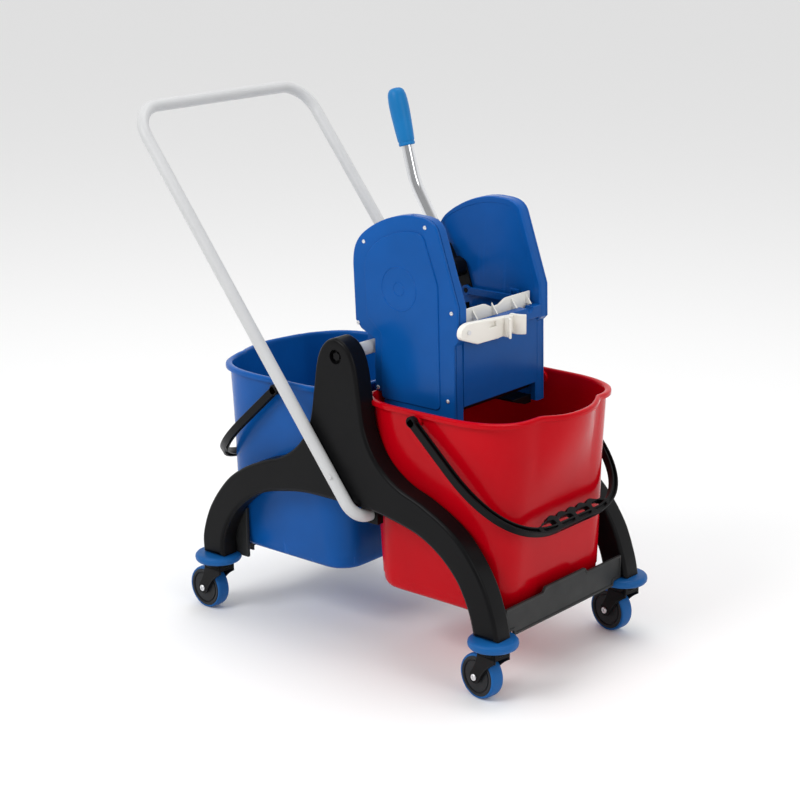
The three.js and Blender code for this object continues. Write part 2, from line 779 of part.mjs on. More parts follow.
function wringerFrame() {
  const { inner } = wringer;
  const half = inner - GAP;
  const clipScrew = rodX(3.5, 182 + GAP, clip.back + clip.thick + 3, clip.pivotY, clip.z, 12);
  const pieces = [
    part('wringer_front_wall', frontWall(), finish.blue),
    part('wringer_rear_wall', box(28 + 2 + GAP, 33, -half + 5.6, half - 5.6, 416, 540), finish.blue),
    part('wringer_drain_grid', drainGrid(), finish.frameBlack),
    part('rear_press_plate', rearPressPlate(), finish.frameBlack),
    part('jaw_hinge_rod', rodY(4, -inner - 2, inner + 2, jaw.hingeX, jaw.hingeZ, 12), finish.steel),
    part('handle_clip_screw', clipScrew, finish.steel),
  ];
  [['right', -1], ['left', 1]].forEach(([label, side]) => {
    pieces.push(
      part(`wringer_casing_${label}`, sideCasing(side), finish.blue),
      part(`wringer_cover_${label}`, sideCover(side), finish.blue),
      part(`wringer_hook_${label}`, hookPlate(side), finish.blue)
    );
  });
  return group(...pieces);
}

// The moving jaw, upright against the front wall, hinged at its foot.
function pressPlate() {
  const { hingeX, hingeZ, top, dip, face, thick, half } = jaw;
  const outline = [
    [-half, 446], [half, 446], [half, top], [28, top], [8, dip], [-8, dip], [-28, top], [-half, top],
  ];
  const plate = slabYZ(polygon(outline), face - thick, face);
  const slots = [-66, -44, -22, 0, 22, 44, 66].map((y) => box(face - 8, face + 4, y - 4, y + 4, 462, 540));
  const foot = join(
    box(face - 10, face, -half, half, hingeZ + 4, 448),
    rodY(7.5, -half, half, hingeX, hingeZ, 16)
  );
  const ribs = [-58, -8, 42, 80].map((y) => {
    const rib = polygon([[y - 4, 555], [y + 4, 555], [y, 582]]);
    return slabYZ(rib, face - 1, face + 3.4);
  });
  const lugs = [-1, 1].map((side) => {
    const span = side < 0 ? [-drive.lugFar, -drive.lugNear] : [drive.lugNear, drive.lugFar];
    const z = crankPin().z;
    const eye = polygon([
      [face - 2, z - 14], [linkPinX - 4, z - 7], [linkPinX - 7, z], [linkPinX - 4, z + 7], [face - 2, z + 13],
    ]);
    return slabXZ(eye, ...span);
  });
  const pins = [-1, 1].map((side) => {
    const ends = [side * (drive.lugFar - 1), side * drive.linkFar].sort((a, b) => a - b);
    return rodY(3.5, ...ends, linkPinX, crankPin().z, 12);
  });
  const body = cut(join(plate, foot, ...ribs), ...slots);
  return cut(join(body, ...lugs, ...pins), rodY(4 + GAP, -half - 1, half + 1, hingeX, hingeZ, 12));
}

function crankPin() {
  const { reach, angle } = crank;
  return new THREE.Vector3(
    wringer.shaftX + reach * Math.cos(angle), 0, wringer.shaftZ + reach * Math.sin(angle)
  );
}

// An arm on the shaft, with the pin that a link rides on.
function crankArm(side) {
  const { shaftX, shaftZ } = wringer;
  const tip = crankPin();
  const [near, far] = [drive.crankNear, drive.crankFar];
  const span = side < 0 ? [-far, -near] : [near, far];
  const pinEnd = drive.linkNear - 0.5;
  const pinSpan = side < 0 ? [-near - 1, -pinEnd] : [pinEnd, near + 1];
  const along = new THREE.Vector2(tip.x - shaftX, tip.z - shaftZ).normalize();
  const across = new THREE.Vector2(-along.y, along.x);
  const corner = (x, z, w) => [x + across.x * w, z + across.y * w];
  const arm = polygon([
    corner(shaftX, shaftZ, -12),
    corner(tip.x, tip.z, -8),
    corner(tip.x, tip.z, 8),
    corner(shaftX, shaftZ, 12),
  ]);
  const body = join(
    slabXZ(arm, ...span),
    rodY(14, ...span, shaftX, shaftZ, 20),
    rodY(9, ...span, tip.x, tip.z, 16),
    rodY(crank.pin, ...pinSpan, tip.x, tip.z, 12)
  );
  return cut(body, rodY(8 + GAP, -wringer.inner, wringer.inner, shaftX, shaftZ, 16));
}

// A pull link: a round eye on the crank pin, and a slotted eye on the jaw's pin.
function pullLink(side) {
  const tip = crankPin();
  const [near, far] = [drive.linkNear, drive.linkFar];
  const span = side < 0 ? [-far, -near] : [near, far];
  const wide = side < 0 ? [-far - 1, -near + 1] : [near - 1, far + 1];
  const body = join(
    box(tip.x, linkPinX, ...span, tip.z - 6, tip.z + 6),
    rodY(9, ...span, tip.x, tip.z, 16),
    box(linkPinX - 8.4, linkPinX + 8.4, ...span, tip.z - 16.5, tip.z + 16.5)
  );
  const slot = box(linkPinX - 5.4, linkPinX + 5.4, ...wide, tip.z - 12.5, tip.z + 12.5);
  return cut(body, rodY(crank.pin + GAP, ...wide, tip.x, tip.z, 12), slot);
}

function leverParts() {
  const { shaftX, shaftZ, inner } = wringer;
  const { y, tube: radius, bendX, bendZ, topX, topZ, gripLength } = lever;
  const pivot = new THREE.Vector3(shaftX, y, shaftZ);
  const bend = new THREE.Vector3(bendX, y, bendZ);
  const top = new THREE.Vector3(topX, y, topZ);
  const up = bend.clone().sub(pivot).normalize();
  const foot = pivot.clone().addScaledVector(up, 15);
  const upper = top.clone().sub(bend).normalize();
  const tubeEnd = top.clone().addScaledVector(upper, -8);
  const rod = tubeAlong([foot, bend, tubeEnd], [120], radius, 1.6, 14, 4);
  const hub = cut(
    join(rodY(17, y - 11, y + 12.4, shaftX, shaftZ, 20), sleeve(pivot, up, 10, 40, 12.5)),
    rodY(8 + GAP, y - 20, y + 20, shaftX, shaftZ, 16),
    sleeve(pivot, up, 14, 60, radius + GAP)
  );
  const washer = ringY([[8 + GAP, 0], [15.5, 0], [15.5, 2], [14.6, 2.6], [8 + GAP, 2.6]], 20)
    .translate(shaftX, y - 15.7, shaftZ);
  const nut = cut(
    rodY(12.6, y - 22, y - 16, shaftX, shaftZ, 6),
    rodY(8 + GAP, y - 23, y - 15, shaftX, shaftZ, 16)
  );
  return [
    part('lever_washer', washer, finish.steel),
    part('lever_nut', nut, finish.steel),
    part('lever_tube', rod, finish.chrome),
    part('lever_grip', leverGrip(top, upper, gripLength, radius), finish.blue),
    part('lever_hub', hub, finish.frameBlack),
    part('drive_shaft', rodY(8, -inner - 6, inner + 6, shaftX, shaftZ, 16), finish.steel),
    part('crank_arm_right', crankArm(-1), finish.frameBlack),
    part('crank_arm_left', crankArm(1), finish.frameBlack),
  ];
}

// A round bar that points along a direction, from one distance to another.
function sleeve(origin, direction, from, to, radius) {
  const turn = new THREE.Quaternion().setFromUnitVectors(new THREE.Vector3(0, 1, 0), direction);
  const middle = origin.clone().addScaledVector(direction, (from + to) / 2);
  return new THREE.CylinderGeometry(radius, radius, to - from, 20)
    .applyQuaternion(turn)
    .translate(middle.x, middle.y, middle.z);
}

// The moulded grip: a swollen sleeve, closed at the top, that the tube pushes into.
function leverGrip(top, direction, length, radius) {
  const bore = radius + GAP;
  const profile = [
    [bore, -length], [13.5, -length], [14, -length + 3], [16.5, -length * 0.45], [16, -16],
    [13, -4], [8, 0], [0, 0], [0, -6], [bore, -6],
  ];
  const turn = new THREE.Quaternion().setFromUnitVectors(new THREE.Vector3(0, 1, 0), direction);
  const points = profile.map(([r, y]) => v2(r, y));
  const lathe = new THREE.LatheGeometry([...points, points[0]], 20);
  return toGeometry(outward(lathe)).applyQuaternion(turn).translate(top.x, top.y, top.z);
}

// The handle clip: an arm on a screw, ending in two sprung fingers.
function handleClip() {
  const { back, thick, pivotY, z } = clip;
  const armShape = polygon([
    [pivotY - 15, z - 7], [pivotY - 13, z + 8], [pivotY - 5, z + 14], [pivotY + 8, z + 14],
    [10, z + 6], [10, z - 21], [-32, z - 24], [pivotY + 22, z - 22], [pivotY - 6, z - 14],
  ]);
  const arm = slabYZ(armShape, back, back + thick);
  const low = z - 24;
  const high = z + 8;
  const finger = (root, tipOut) => {
    const outline = [
      [back + 2, root - 3], [back + 16, root - 3], [back + 26, root - 3 + tipOut],
      [back + 28, root + 1 + tipOut], [back + 17, root + 3], [back + 2, root + 3],
    ];
    const options = { depth: high - low, steps: 1, bevelEnabled: false };
    return new THREE.ExtrudeGeometry(polygon(outline), options).translate(0, 0, low);
  };
  const slot = box(back - 1, back + thick + 1, -52, -36, z - 2, z + 6);
  const pivot = rodX(3.5 + GAP, back - 1, back + thick + 1, pivotY, z, 12);
  return cut(join(arm, finger(-16, -7), finger(8, 7)), slot, pivot);
}

function wringerSet() {
  return group(
    wringerFrame(),
    part('press_plate', pressPlate(), finish.white),
    part('pull_link_right', pullLink(-1), finish.frameBlack),
    part('pull_link_left', pullLink(1), finish.frameBlack),
    part('handle_clip', handleClip(), finish.white),
    ...leverParts()
  );
}

// ---------------------------------------------------------------- the trolley

const trolley = group(chassis(), casters(), buckets(), wringerSet());
trolley.position.set(CHASSIS_SHIFT, 0, -FLOOR);
trolley.updateMatrixWorld(true);

export default trolley;
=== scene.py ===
import json
import math

import bmesh
import bpy
from mathutils import Matrix, Vector


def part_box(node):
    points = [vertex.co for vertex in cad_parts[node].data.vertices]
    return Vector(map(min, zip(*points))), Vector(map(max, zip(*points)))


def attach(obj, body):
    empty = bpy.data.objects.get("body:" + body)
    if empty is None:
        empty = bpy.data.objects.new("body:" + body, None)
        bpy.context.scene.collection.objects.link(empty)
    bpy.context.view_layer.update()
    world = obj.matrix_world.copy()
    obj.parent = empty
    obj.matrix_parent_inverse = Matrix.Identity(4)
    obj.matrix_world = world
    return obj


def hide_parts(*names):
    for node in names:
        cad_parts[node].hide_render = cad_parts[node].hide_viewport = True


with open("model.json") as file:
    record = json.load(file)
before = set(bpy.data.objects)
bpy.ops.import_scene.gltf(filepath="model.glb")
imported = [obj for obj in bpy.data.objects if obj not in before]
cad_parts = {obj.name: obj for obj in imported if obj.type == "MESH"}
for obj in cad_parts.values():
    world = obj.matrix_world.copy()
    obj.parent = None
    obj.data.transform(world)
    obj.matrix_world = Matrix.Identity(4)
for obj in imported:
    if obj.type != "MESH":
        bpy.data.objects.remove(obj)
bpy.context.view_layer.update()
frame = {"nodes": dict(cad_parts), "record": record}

LOW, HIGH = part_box("upper_cross_tube")
CROSS_RADIUS = 11
CROSS_X, CROSS_Z = -3, 508  # where the cross tube is, in the millimetres that all shapes below are drawn in
HOME = Matrix.Translation(((LOW.x + HIGH.x) / 2 - CROSS_X / 1000, 0, (LOW.z + HIGH.z) / 2 - CROSS_Z / 1000))


def metres(point):
    """A point drawn in millimetres, in the row frame."""
    return HOME @ (Vector(point) / 1000)


# ---------------------------------------------------------------- camera, light, floor

AZIMUTH, ELEVATION, ROLL = math.radians(40.6), math.radians(16.16), math.radians(-0.53)
TARGET, DISTANCE, SIDE_SHIFT, RISE = Vector((0, 0, 400)), 3267.7, 26.9, 4.62  # millimetres
SENSOR, LENS = 36, 89.1
LOOK_AT = Vector((0, 0, 0.4))  # where the lights point, in metres


def make_camera():
    azimuth, elevation, roll = AZIMUTH, ELEVATION, ROLL
    level = math.cos(elevation)
    forward = Vector((-math.sin(azimuth) * level, math.cos(azimuth) * level, -math.sin(elevation)))
    right = Vector((math.cos(azimuth), math.sin(azimuth), 0))
    up = right.cross(forward)
    eye = TARGET - forward * DISTANCE - right * SIDE_SHIFT - up * RISE
    turned_right = right * math.cos(roll) + up * math.sin(roll)
    turned_up = up * math.cos(roll) - right * math.sin(roll)
    data = bpy.data.cameras.new("camera")
    data.sensor_width = SENSOR
    data.lens = LENS
    camera = bpy.data.objects.new("camera", data)
    bpy.context.scene.collection.objects.link(camera)
    rotation = Matrix((turned_right, turned_up, -forward)).transposed().to_4x4()
    camera.matrix_world = Matrix.Translation(metres(eye)) @ rotation
    bpy.context.scene.camera = camera


def area_light(name, at, size, power):
    data = bpy.data.lights.new(name, "AREA")
    data.shape = "RECTANGLE"
    data.size, data.size_y = size
    data.energy = power
    light = bpy.data.objects.new(name, data)
    bpy.context.scene.collection.objects.link(light)
    light.location = at
    light.rotation_euler = (LOOK_AT - Vector(at)).to_track_quat("-Z", "Y").to_euler()


def make_world():
    """White all round, and darker behind the camera so that the glossy parts keep their depth."""
    world = bpy.data.worlds.new("studio")
    bpy.context.scene.world = world
    world.use_nodes = True
    nodes, links = world.node_tree.nodes, world.node_tree.links
    place = nodes.new("ShaderNodeTexCoord")
    towards = nodes.new("ShaderNodeVectorMath")
    towards.operation = "DOT_PRODUCT"
    towards.inputs[1].default_value = (0.62, -0.72, -0.2)
    links.new(place.outputs["Generated"], towards.inputs[0])
    fade = nodes.new("ShaderNodeMapRange")
    for key, value in {"From Min": -0.25, "From Max": 0.35, "To Min": 1.0, "To Max": 0.4}.items():
        fade.inputs[key].default_value = value
    links.new(towards.outputs["Value"], fade.inputs["Value"])
    links.new(fade.outputs["Result"], nodes["Background"].inputs["Strength"])
    nodes["Background"].inputs["Color"].default_value = (1, 1, 1, 1)


def make_studio():
    make_world()
    area_light("key", (-0.6, -3.0, 2.9), (1.8, 1.4), 66)
    area_light("fill", (3.4, -0.6, 1.9), (1.2, 2.0), 26)
    area_light("top", (0.2, 0.4, 3.4), (2.2, 1.4), 24)
    bpy.ops.mesh.primitive_plane_add(size=30, location=(0, 0, 0))
    floor = bpy.context.active_object
    floor.name = "studio_floor"
    floor.data.materials.append(floor_material())
    bpy.context.scene.view_settings.view_transform = "Standard"


def floor_material():
    material = bpy.data.materials.new("floor")
    material.use_nodes = True
    shader = material.node_tree.nodes["Principled BSDF"]
    shader.inputs["Base Color"].default_value = (0.93, 0.93, 0.93, 1)
    shader.inputs["Roughness"].default_value = 0.9
    return material


# ---------------------------------------------------------------- materials

class Recipe:
    """A material being built up from nodes."""

    def __init__(self, name):
        self.material = bpy.data.materials.new(name)
        self.material.use_nodes = True
        self.tree = self.material.node_tree
        self.shader = self.tree.nodes["Principled BSDF"]
        self.place = self.add("ShaderNodeTexCoord").outputs["Object"]

    def add(self, kind, inputs=None, **settings):
        node = self.tree.nodes.new(kind)
        for key, value in settings.items():
            setattr(node, key, value)
        self.feed(node, inputs or {})
        return node

    def feed(self, node, inputs):
        for key, value in inputs.items():
            if isinstance(value, bpy.types.NodeSocket):
                self.tree.links.new(value, node.inputs[key])
            else:
                node.inputs[key].default_value = value

    def noise(self, scale, detail=2.0, stretch=(1, 1, 1)):
        place = self.add("ShaderNodeMapping", {"Vector": self.place, "Scale": stretch}).outputs["Vector"]
        inputs = {"Vector": place, "Scale": scale, "Detail": detail}
        return self.add("ShaderNodeTexNoise", inputs).outputs["Fac"]

    def ranged(self, value, low, high, to_low, to_high):
        inputs = {"Value": value, "From Min": low, "From Max": high, "To Min": to_low, "To Max": to_high}
        return self.add("ShaderNodeMapRange", inputs).outputs["Result"]

    def calculate(self, first, second, operation):
        node = self.add("ShaderNodeMath", operation=operation)
        self.feed(node, {0: first, 1: second})
        return node.outputs["Value"]

    def blend(self, amount, first, second):
        inputs = {"Fac": amount, "Color1": first, "Color2": second}
        return self.add("ShaderNodeMixRGB", inputs).outputs["Color"]

    def edges(self, radius):
        """One on sharp edges and zero on flat faces."""
        rounded = self.add("ShaderNodeBevel", {"Radius": radius / 1000}, samples=4).outputs["Normal"]
        flat = self.add("ShaderNodeNewGeometry").outputs["Normal"]
        facing = self.add("ShaderNodeVectorMath", operation="DOT_PRODUCT")
        self.feed(facing, {0: rounded, 1: flat})
        return self.ranged(facing.outputs["Value"], 0.985, 0.86, 0, 1)


def shade(colour, factor):
    return (*(min(c * factor, 1) for c in colour), 1)


def surface(name, colour, roughness, specular, grain, metallic=0.0, variation=0.12, wear=None,
            scuffs=0.0, stretch=(1, 1, 1)):
    """A worn, slightly uneven surface. grain is (scale, height); wear is (width, amount, brightness)."""
    recipe = Recipe(name)
    cloud = recipe.noise(7, 4)
    patches = recipe.ranged(cloud, 0.3, 0.7, 0, 1)
    tone = recipe.blend(patches, shade(colour, 1 - variation), shade(colour, 1 + variation))
    fine = recipe.noise(grain[0], 3, stretch)
    rough = recipe.ranged(recipe.noise(38, 3), 0.3, 0.7, roughness * 0.85, roughness * 1.15)
    if scuffs:
        lines = recipe.ranged(recipe.noise(60, 2, (1, 1, 0.07)), 0.66, 0.8, 0, scuffs)
        tone = recipe.blend(lines, tone, shade(colour, 1.6))
        rough = recipe.calculate(rough, recipe.calculate(lines, 0.35, "MULTIPLY"), "ADD")
    if wear:
        width, amount, brightness = wear
        uneven = recipe.ranged(recipe.noise(120, 4), 0.35, 0.65, 0.2, 1)
        worn = recipe.calculate(recipe.edges(width), uneven, "MULTIPLY")
        tone = recipe.blend(recipe.calculate(worn, amount, "MULTIPLY"), tone, shade(colour, brightness))
    bump = recipe.add("ShaderNodeBump", {"Height": fine, "Strength": grain[1], "Distance": 0.0004})
    recipe.feed(recipe.shader, {
        "Base Color": tone, "Roughness": rough, "Normal": bump.outputs["Normal"],
        "Metallic": metallic, "Specular IOR Level": specular,
    })
    return recipe.material


SURFACES = {
    "frame_black": dict(colour=(0.004, 0.004, 0.0045), roughness=0.34, specular=0.1,
                        grain=(700, 0.18), wear=(3, 0.5, 3.4)),
    "beam_grey": dict(colour=(0.024, 0.025, 0.025), roughness=0.46, specular=0.18,
                      grain=(600, 0.2), wear=(2, 0.5, 1.8)),
    "blue": dict(colour=(0.003, 0.082, 0.33), roughness=0.22, specular=0.12,
                 grain=(500, 0.06), wear=(1.6, 0.4, 1.7), scuffs=0.25),
    "tyre_blue": dict(colour=(0.006, 0.096, 0.31), roughness=0.46, specular=0.18,
                      grain=(900, 0.16), wear=(1.5, 0.3, 1.5)),
    "red": dict(colour=(0.47, 0.0005, 0.006), roughness=0.17, specular=0.1,
                grain=(450, 0.05), variation=0.07, scuffs=0.16),
    "white": dict(colour=(0.84, 0.82, 0.76), roughness=0.4, specular=0.3,
                  grain=(700, 0.1), wear=(1.5, 0.3, 0.86), variation=0.03),
    "paint": dict(colour=(0.55, 0.555, 0.56), roughness=0.34, specular=0.3,
                  grain=(420, 0.09), variation=0.03),
    "chrome": dict(colour=(0.72, 0.73, 0.75), roughness=0.13, specular=0.5, metallic=1,
                   grain=(900, 0.03), stretch=(1, 1, 0.1), variation=0.02),
    "steel": dict(colour=(0.74, 0.745, 0.76), roughness=0.36, specular=0.5, metallic=0.75,
                  grain=(1500, 0.12), stretch=(1, 0.05, 1), variation=0.06),
    "grip_blue": dict(colour=(0.006, 0.16, 0.42), roughness=0.42, specular=0.2, grain=(1200, 0.2)),
    "hub_grey": dict(colour=(0.014, 0.015, 0.017), roughness=0.42, specular=0.2,
                     grain=(800, 0.15), wear=(1.5, 0.4, 2.5)),
}
FINISH = {name: surface(name, **values) for name, values in SURFACES.items()}


# ---------------------------------------------------------------- making meshes

def clean(mesh):
    """Welds doubled points and turns every face outwards."""
    work = bmesh.new()
    work.from_mesh(mesh)
    bmesh.ops.remove_doubles(work, verts=work.verts, dist=1e-6)
    bmesh.ops.recalc_face_normals(work, faces=work.faces)
    work.to_mesh(mesh)
    work.free()


def evaluated(obj):
    """A plain mesh of an object with its modifiers applied; the object is removed."""
    bpy.context.view_layer.update()
    mesh = bpy.data.meshes.new_from_object(obj.evaluated_get(bpy.context.evaluated_depsgraph_get()))
    bpy.data.objects.remove(obj)
    return mesh


def loose(mesh):
    obj = bpy.data.objects.new("loose", mesh)
    bpy.context.scene.collection.objects.link(obj)
    return obj


def raw(points, faces):
    """A mesh from points in chassis millimetres."""
    mesh = bpy.data.meshes.new("raw")
    mesh.from_pydata([metres(p) for p in points], [], faces)
    clean(mesh)
    return mesh


def slab(loops, low, high, axis="y", bevel=0.0, steps=3):
    """Closed outlines given thickness along an axis, with rounded edges. An outline inside is a hole."""
    curve = bpy.data.curves.new("outline", "CURVE")
    curve.dimensions = "2D"
    curve.fill_mode = "BOTH"
    for loop in loops:
        spline = curve.splines.new("POLY")
        spline.points.add(len(loop) - 1)
        for point, (u, v) in zip(spline.points, loop):
            point.co = (u / 1000, v / 1000, 0, 1)
        spline.use_cyclic_u = True
    curve.extrude = ((high - low) / 2 - bevel) / 1000
    curve.bevel_depth = bevel / 1000
    curve.bevel_resolution = steps
    curve.offset = -bevel / 1000
    mesh = evaluated(loose(curve))
    clean(mesh)
    middle = (low + high) / 2000
    turn = {
        "y": Matrix(((1, 0, 0, 0), (0, 0, -1, middle), (0, 1, 0, 0), (0, 0, 0, 1))),
        "x": Matrix(((0, 0, 1, middle), (1, 0, 0, 0), (0, 1, 0, 0), (0, 0, 0, 1))),
        "z": Matrix(((1, 0, 0, 0), (0, 1, 0, 0), (0, 0, 1, middle), (0, 0, 0, 1))),
    }[axis]
    mesh.transform(HOME @ turn)
    return mesh


def block(x0, x1, y0, y1, z0, z1, bevel=0.0):
    loop = [(x0, z0), (x1, z0), (x1, z1), (x0, z1)]
    return slab([loop], y0, y1, "y", bevel)


def frame_at(origin, direction):
    """Two directions square to a third."""
    along = Vector(direction).normalized()
    first = along.orthogonal().normalized()
    return Vector(origin), along, first, along.cross(first)


def lathe(profile, origin, direction, steps=48):
    """A solid of revolution from (radius, distance along the axis) points; it closes on itself."""
    centre, along, first, second = frame_at(origin, direction)
    points = []
    for radius, distance in profile:
        for i in range(steps):
            angle = 2 * math.pi * i / steps
            outward = first * math.cos(angle) + second * math.sin(angle)
            points.append(centre + along * distance + outward * max(radius, 0.001))
    count = len(profile)
    faces = []
    for level in range(count):
        following = (level + 1) % count
        if profile[level][0] == 0 and profile[following][0] == 0:
            continue
        for i in range(steps):
            j = (i + 1) % steps
            here, there = level * steps, following * steps
            faces.append((here + i, here + j, there + j, there + i))
    return raw(points, faces)


def rod(origin, direction, radius, length, edge=0.8, steps=32):
    start = [(0, 0), (radius - edge, 0), (radius, edge)]
    end = [(r, length - distance) for r, distance in reversed(start)]
    return lathe(start + end, origin, direction, steps)


def skin(rings):
    """A closed surface over rings with the same number of points."""
    size = len(rings[0])
    points = [p for ring in rings for p in ring]
    faces = []
    for level in range(len(rings) - 1):
        for i in range(size):
            j = (i + 1) % size
            a, b = level * size, (level + 1) * size
            faces.append((a + i, a + j, b + j, b + i))
    faces.append(tuple(reversed(range(size))))
    faces.append(tuple(range((len(rings) - 1) * size, len(rings) * size)))
    return raw(points, faces)


def bent(corners, radii, steps=14):
    """Points along straight runs joined by round bends."""
    corners = [Vector(c) for c in corners]
    route = [corners[0]]
    for i, radius in enumerate(radii):
        before, corner, after = corners[i:i + 3]
        into = (corner - before).normalized()
        out = (after - corner).normalized()
        turn = into.angle(out)
        start = corner - into * radius * math.tan(turn / 2)
        side = (out - into * out.dot(into)).normalized()
        for k in range(steps + 1):
            angle = turn * k / steps
            route.append(start + into * radius * math.sin(angle) + side * radius * (1 - math.cos(angle)))
    return route + [corners[-1]]


def sweep(route, section, side):
    """A section of (across, up) points carried along a route; side is the way up points at the start."""
    rings = []
    up = Vector(side)
    for i, here in enumerate(route):
        before, after = route[max(i - 1, 0)], route[min(i + 1, len(route) - 1)]
        along = (after - before).normalized()
        up = (up - along * up.dot(along)).normalized()
        across = along.cross(up)
        rings.append([here + across * a + up * b for a, b in section])
    return skin(rings)


def disc(radius, steps):
    turns = [2 * math.pi * i / steps for i in range(steps)]
    return [(radius * math.cos(turn), radius * math.sin(turn)) for turn in turns]


def joined(*meshes):
    work = bmesh.new()
    for mesh in meshes:
        work.from_mesh(mesh)
        bpy.data.meshes.remove(mesh)
    mesh = bpy.data.meshes.new("joined")
    work.to_mesh(mesh)
    work.free()
    return mesh


def carved(mesh, *tools):
    body = loose(mesh)
    cutters = [loose(tool) for tool in tools]
    for cutter in cutters:
        change = body.modifiers.new("cut", "BOOLEAN")
        change.operation = "DIFFERENCE"
        change.solver = "EXACT"
        change.object = cutter
    result = evaluated(body)
    for cutter in cutters:
        bpy.data.objects.remove(cutter)
    return result


def mirrored(mesh):
    """The same mesh on the other side of the middle plane."""
    copy = mesh.copy()
    copy.transform(Matrix.Diagonal((1, -1, 1, 1)))
    copy.flip_normals()
    return copy


def piece(name, mesh, finish, body, nodes=(), sharp=35):
    """A finished piece of the object: smooth, with its material, riding on a body."""
    mesh.name = name
    obj = bpy.data.objects.new(name, mesh)
    bpy.context.scene.collection.objects.link(obj)
    mesh.materials.clear()
    mesh.materials.append(FINISH[finish])
    finish_surface(obj, sharp)
    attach(obj, body)
    if nodes:
        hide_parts(*nodes)


def finish_surface(obj, sharp, bevel=0.0):
    """Smooth shading, with the sharp edges rounded where there is a bevel and kept where there is none."""
    obj.data.shade_smooth()
    if bevel:
        rounding = obj.modifiers.new("rounding", "BEVEL")
        rounding.width = bevel / 1000
        rounding.segments = 3
        rounding.limit_method = "ANGLE"
        rounding.angle_limit = math.radians(sharp)
        rounding.use_clamp_overlap = True
    else:
        obj.data.set_sharp_from_angle(angle=math.radians(sharp))
    weighted = obj.modifiers.new("normals", "WEIGHTED_NORMAL")
    weighted.keep_sharp = True


def cubic(a, b, c, d, steps):
    """Points of a Bezier curve, without its last one."""
    result = []
    for i in range(steps):
        t = i / steps
        s = 1 - t
        weights = (s * s * s, 3 * s * s * t, 3 * s * t * t, t * t * t)
        point = [sum(weight * corner[k] for weight, corner in zip(weights, (a, b, c, d))) for k in range(2)]
        result.append(tuple(point))
    return result


def outline(start, *moves, steps=14):
    """Points of a path. A move is a point, or three for a curve."""
    points = [start]
    here = start
    for move in moves:
        if isinstance(move[0], tuple):
            points += cubic(here, *move, steps)[1:] + [move[2]]
            here = move[2]
        else:
            points.append(move)
            here = move
    if points[0] == points[-1]:
        points.pop()
    return points


# ---------------------------------------------------------------- chassis

FRAME_OUTER, FRAME_INNER = 193, 155
FRAME_TOP, ARCH_TOP, FOOT_TOP = 538, 269, 110
# the legs' edges in side view, from the foot up: (distance from the middle, height)
LEG_OUTSIDE = [(319, 110), (315, 145), (295, 197), (259, 246), (222, 276), (172, 301), (130, 316),
               (98, 336), (74, 362), (57, 398), (48, 450), (41, 492), (32, 516), (20, 530), (8, 536)]
LEG_INSIDE = [(272, 110), (266, 147), (244, 190), (210, 224), (168, 248), (118, 261), (70, 268)]
ARCH_MIDDLE = -4.5  # the tower and the arch stand a little to the rear of the middle of the feet


def spline_value(before, start, end, after, t):
    """Catmull-Rom spline: one coordinate, a part t of the way from start to end."""
    square = 2 * before - 5 * start + 4 * end - after
    cube = 3 * start - before - 3 * end + after
    return 0.5 * (2 * start + (end - before) * t + square * t * t + cube * t ** 3)


def catmull(points, steps):
    """A smooth path through points."""
    path = [points[0], *points, points[-1]]
    result = []
    for i in range(len(path) - 3):
        a, b, c, d = path[i:i + 4]
        for k in range(steps):
            t = k / steps
            result.append(tuple(spline_value(*values, t) for values in zip(a, b, c, d)))
    return result + [points[-1]]


def side_frame_outline(steps=6):
    def leg(points, end, top):
        path = [(end * x + ARCH_MIDDLE * min((z - FOOT_TOP) / 40, 1), z) for x, z in points]
        return catmull([*path, (ARCH_MIDDLE, top)], steps)
    front, rear = leg(LEG_OUTSIDE, 1, FRAME_TOP), leg(LEG_OUTSIDE, -1, FRAME_TOP)
    under_rear, under_front = leg(LEG_INSIDE, -1, ARCH_TOP), leg(LEG_INSIDE, 1, ARCH_TOP)
    return front + rear[::-1][1:] + under_rear + under_front[::-1][1:]


def under_edge(steps=6):
    """The line of the arch's lower edge, from the rear foot to the front one."""
    start = (len(LEG_OUTSIDE) * steps + 1) * 2 - 1
    return side_frame_outline(steps)[start:]


def side_frame(label, side):
    body = slab([side_frame_outline()], FRAME_INNER, FRAME_OUTER, "y", 6, 4)
    bead_route = [Vector((x, FRAME_OUTER - 5.2, z + 0.4)) for x, z in under_edge()]
    bead = sweep(bead_route, disc(1.7, 8), (0, 1, 0))
    recess = rod((CROSS_X, FRAME_OUTER - 9, CROSS_Z), (0, 1, 0), 12, 20, 0.1, 40)
    notch = block(20, 47, FRAME_OUTER - 6, FRAME_OUTER + 5, 250, 281)
    body = carved(body, recess, notch)
    ledges = [block(*sorted((end * 70, end * 150)), 152, 156, 269, 276, 1) for end in (-1, 1)]
    step = rod((CROSS_X, FRAME_OUTER - 9.2, CROSS_Z), (0, 1, 0), 12.4, 1.2, 0.3, 40)
    mesh = joined(body, bead, step, *ledges)
    if side < 0:
        mesh = mirrored(mesh)
    piece(f"side_frame_{label}_shell", mesh, "frame_black", "chassis", [f"side_frame_{label}"])


BEAM = {"face": 307, "thick": 4, "low": 102, "foot": 111, "high": 150, "crest": 158,
        "clear": 135, "half": 154.7}


def beam_outline(inset=0.0):
    half, clear = BEAM["half"] - inset, BEAM["clear"] - inset
    low, foot = BEAM["low"] + inset, BEAM["foot"] + inset
    high, crest = BEAM["high"] - inset, BEAM["crest"] - inset
    right = [(clear - 2, low), (clear, foot - 1.5), (clear + 1.5, foot), (half, foot), (half, high),
             (60, high), (58, high + 1.5), (54, crest - 1), (52, crest)]
    return right + [(-y, z) for y, z in reversed(right)]


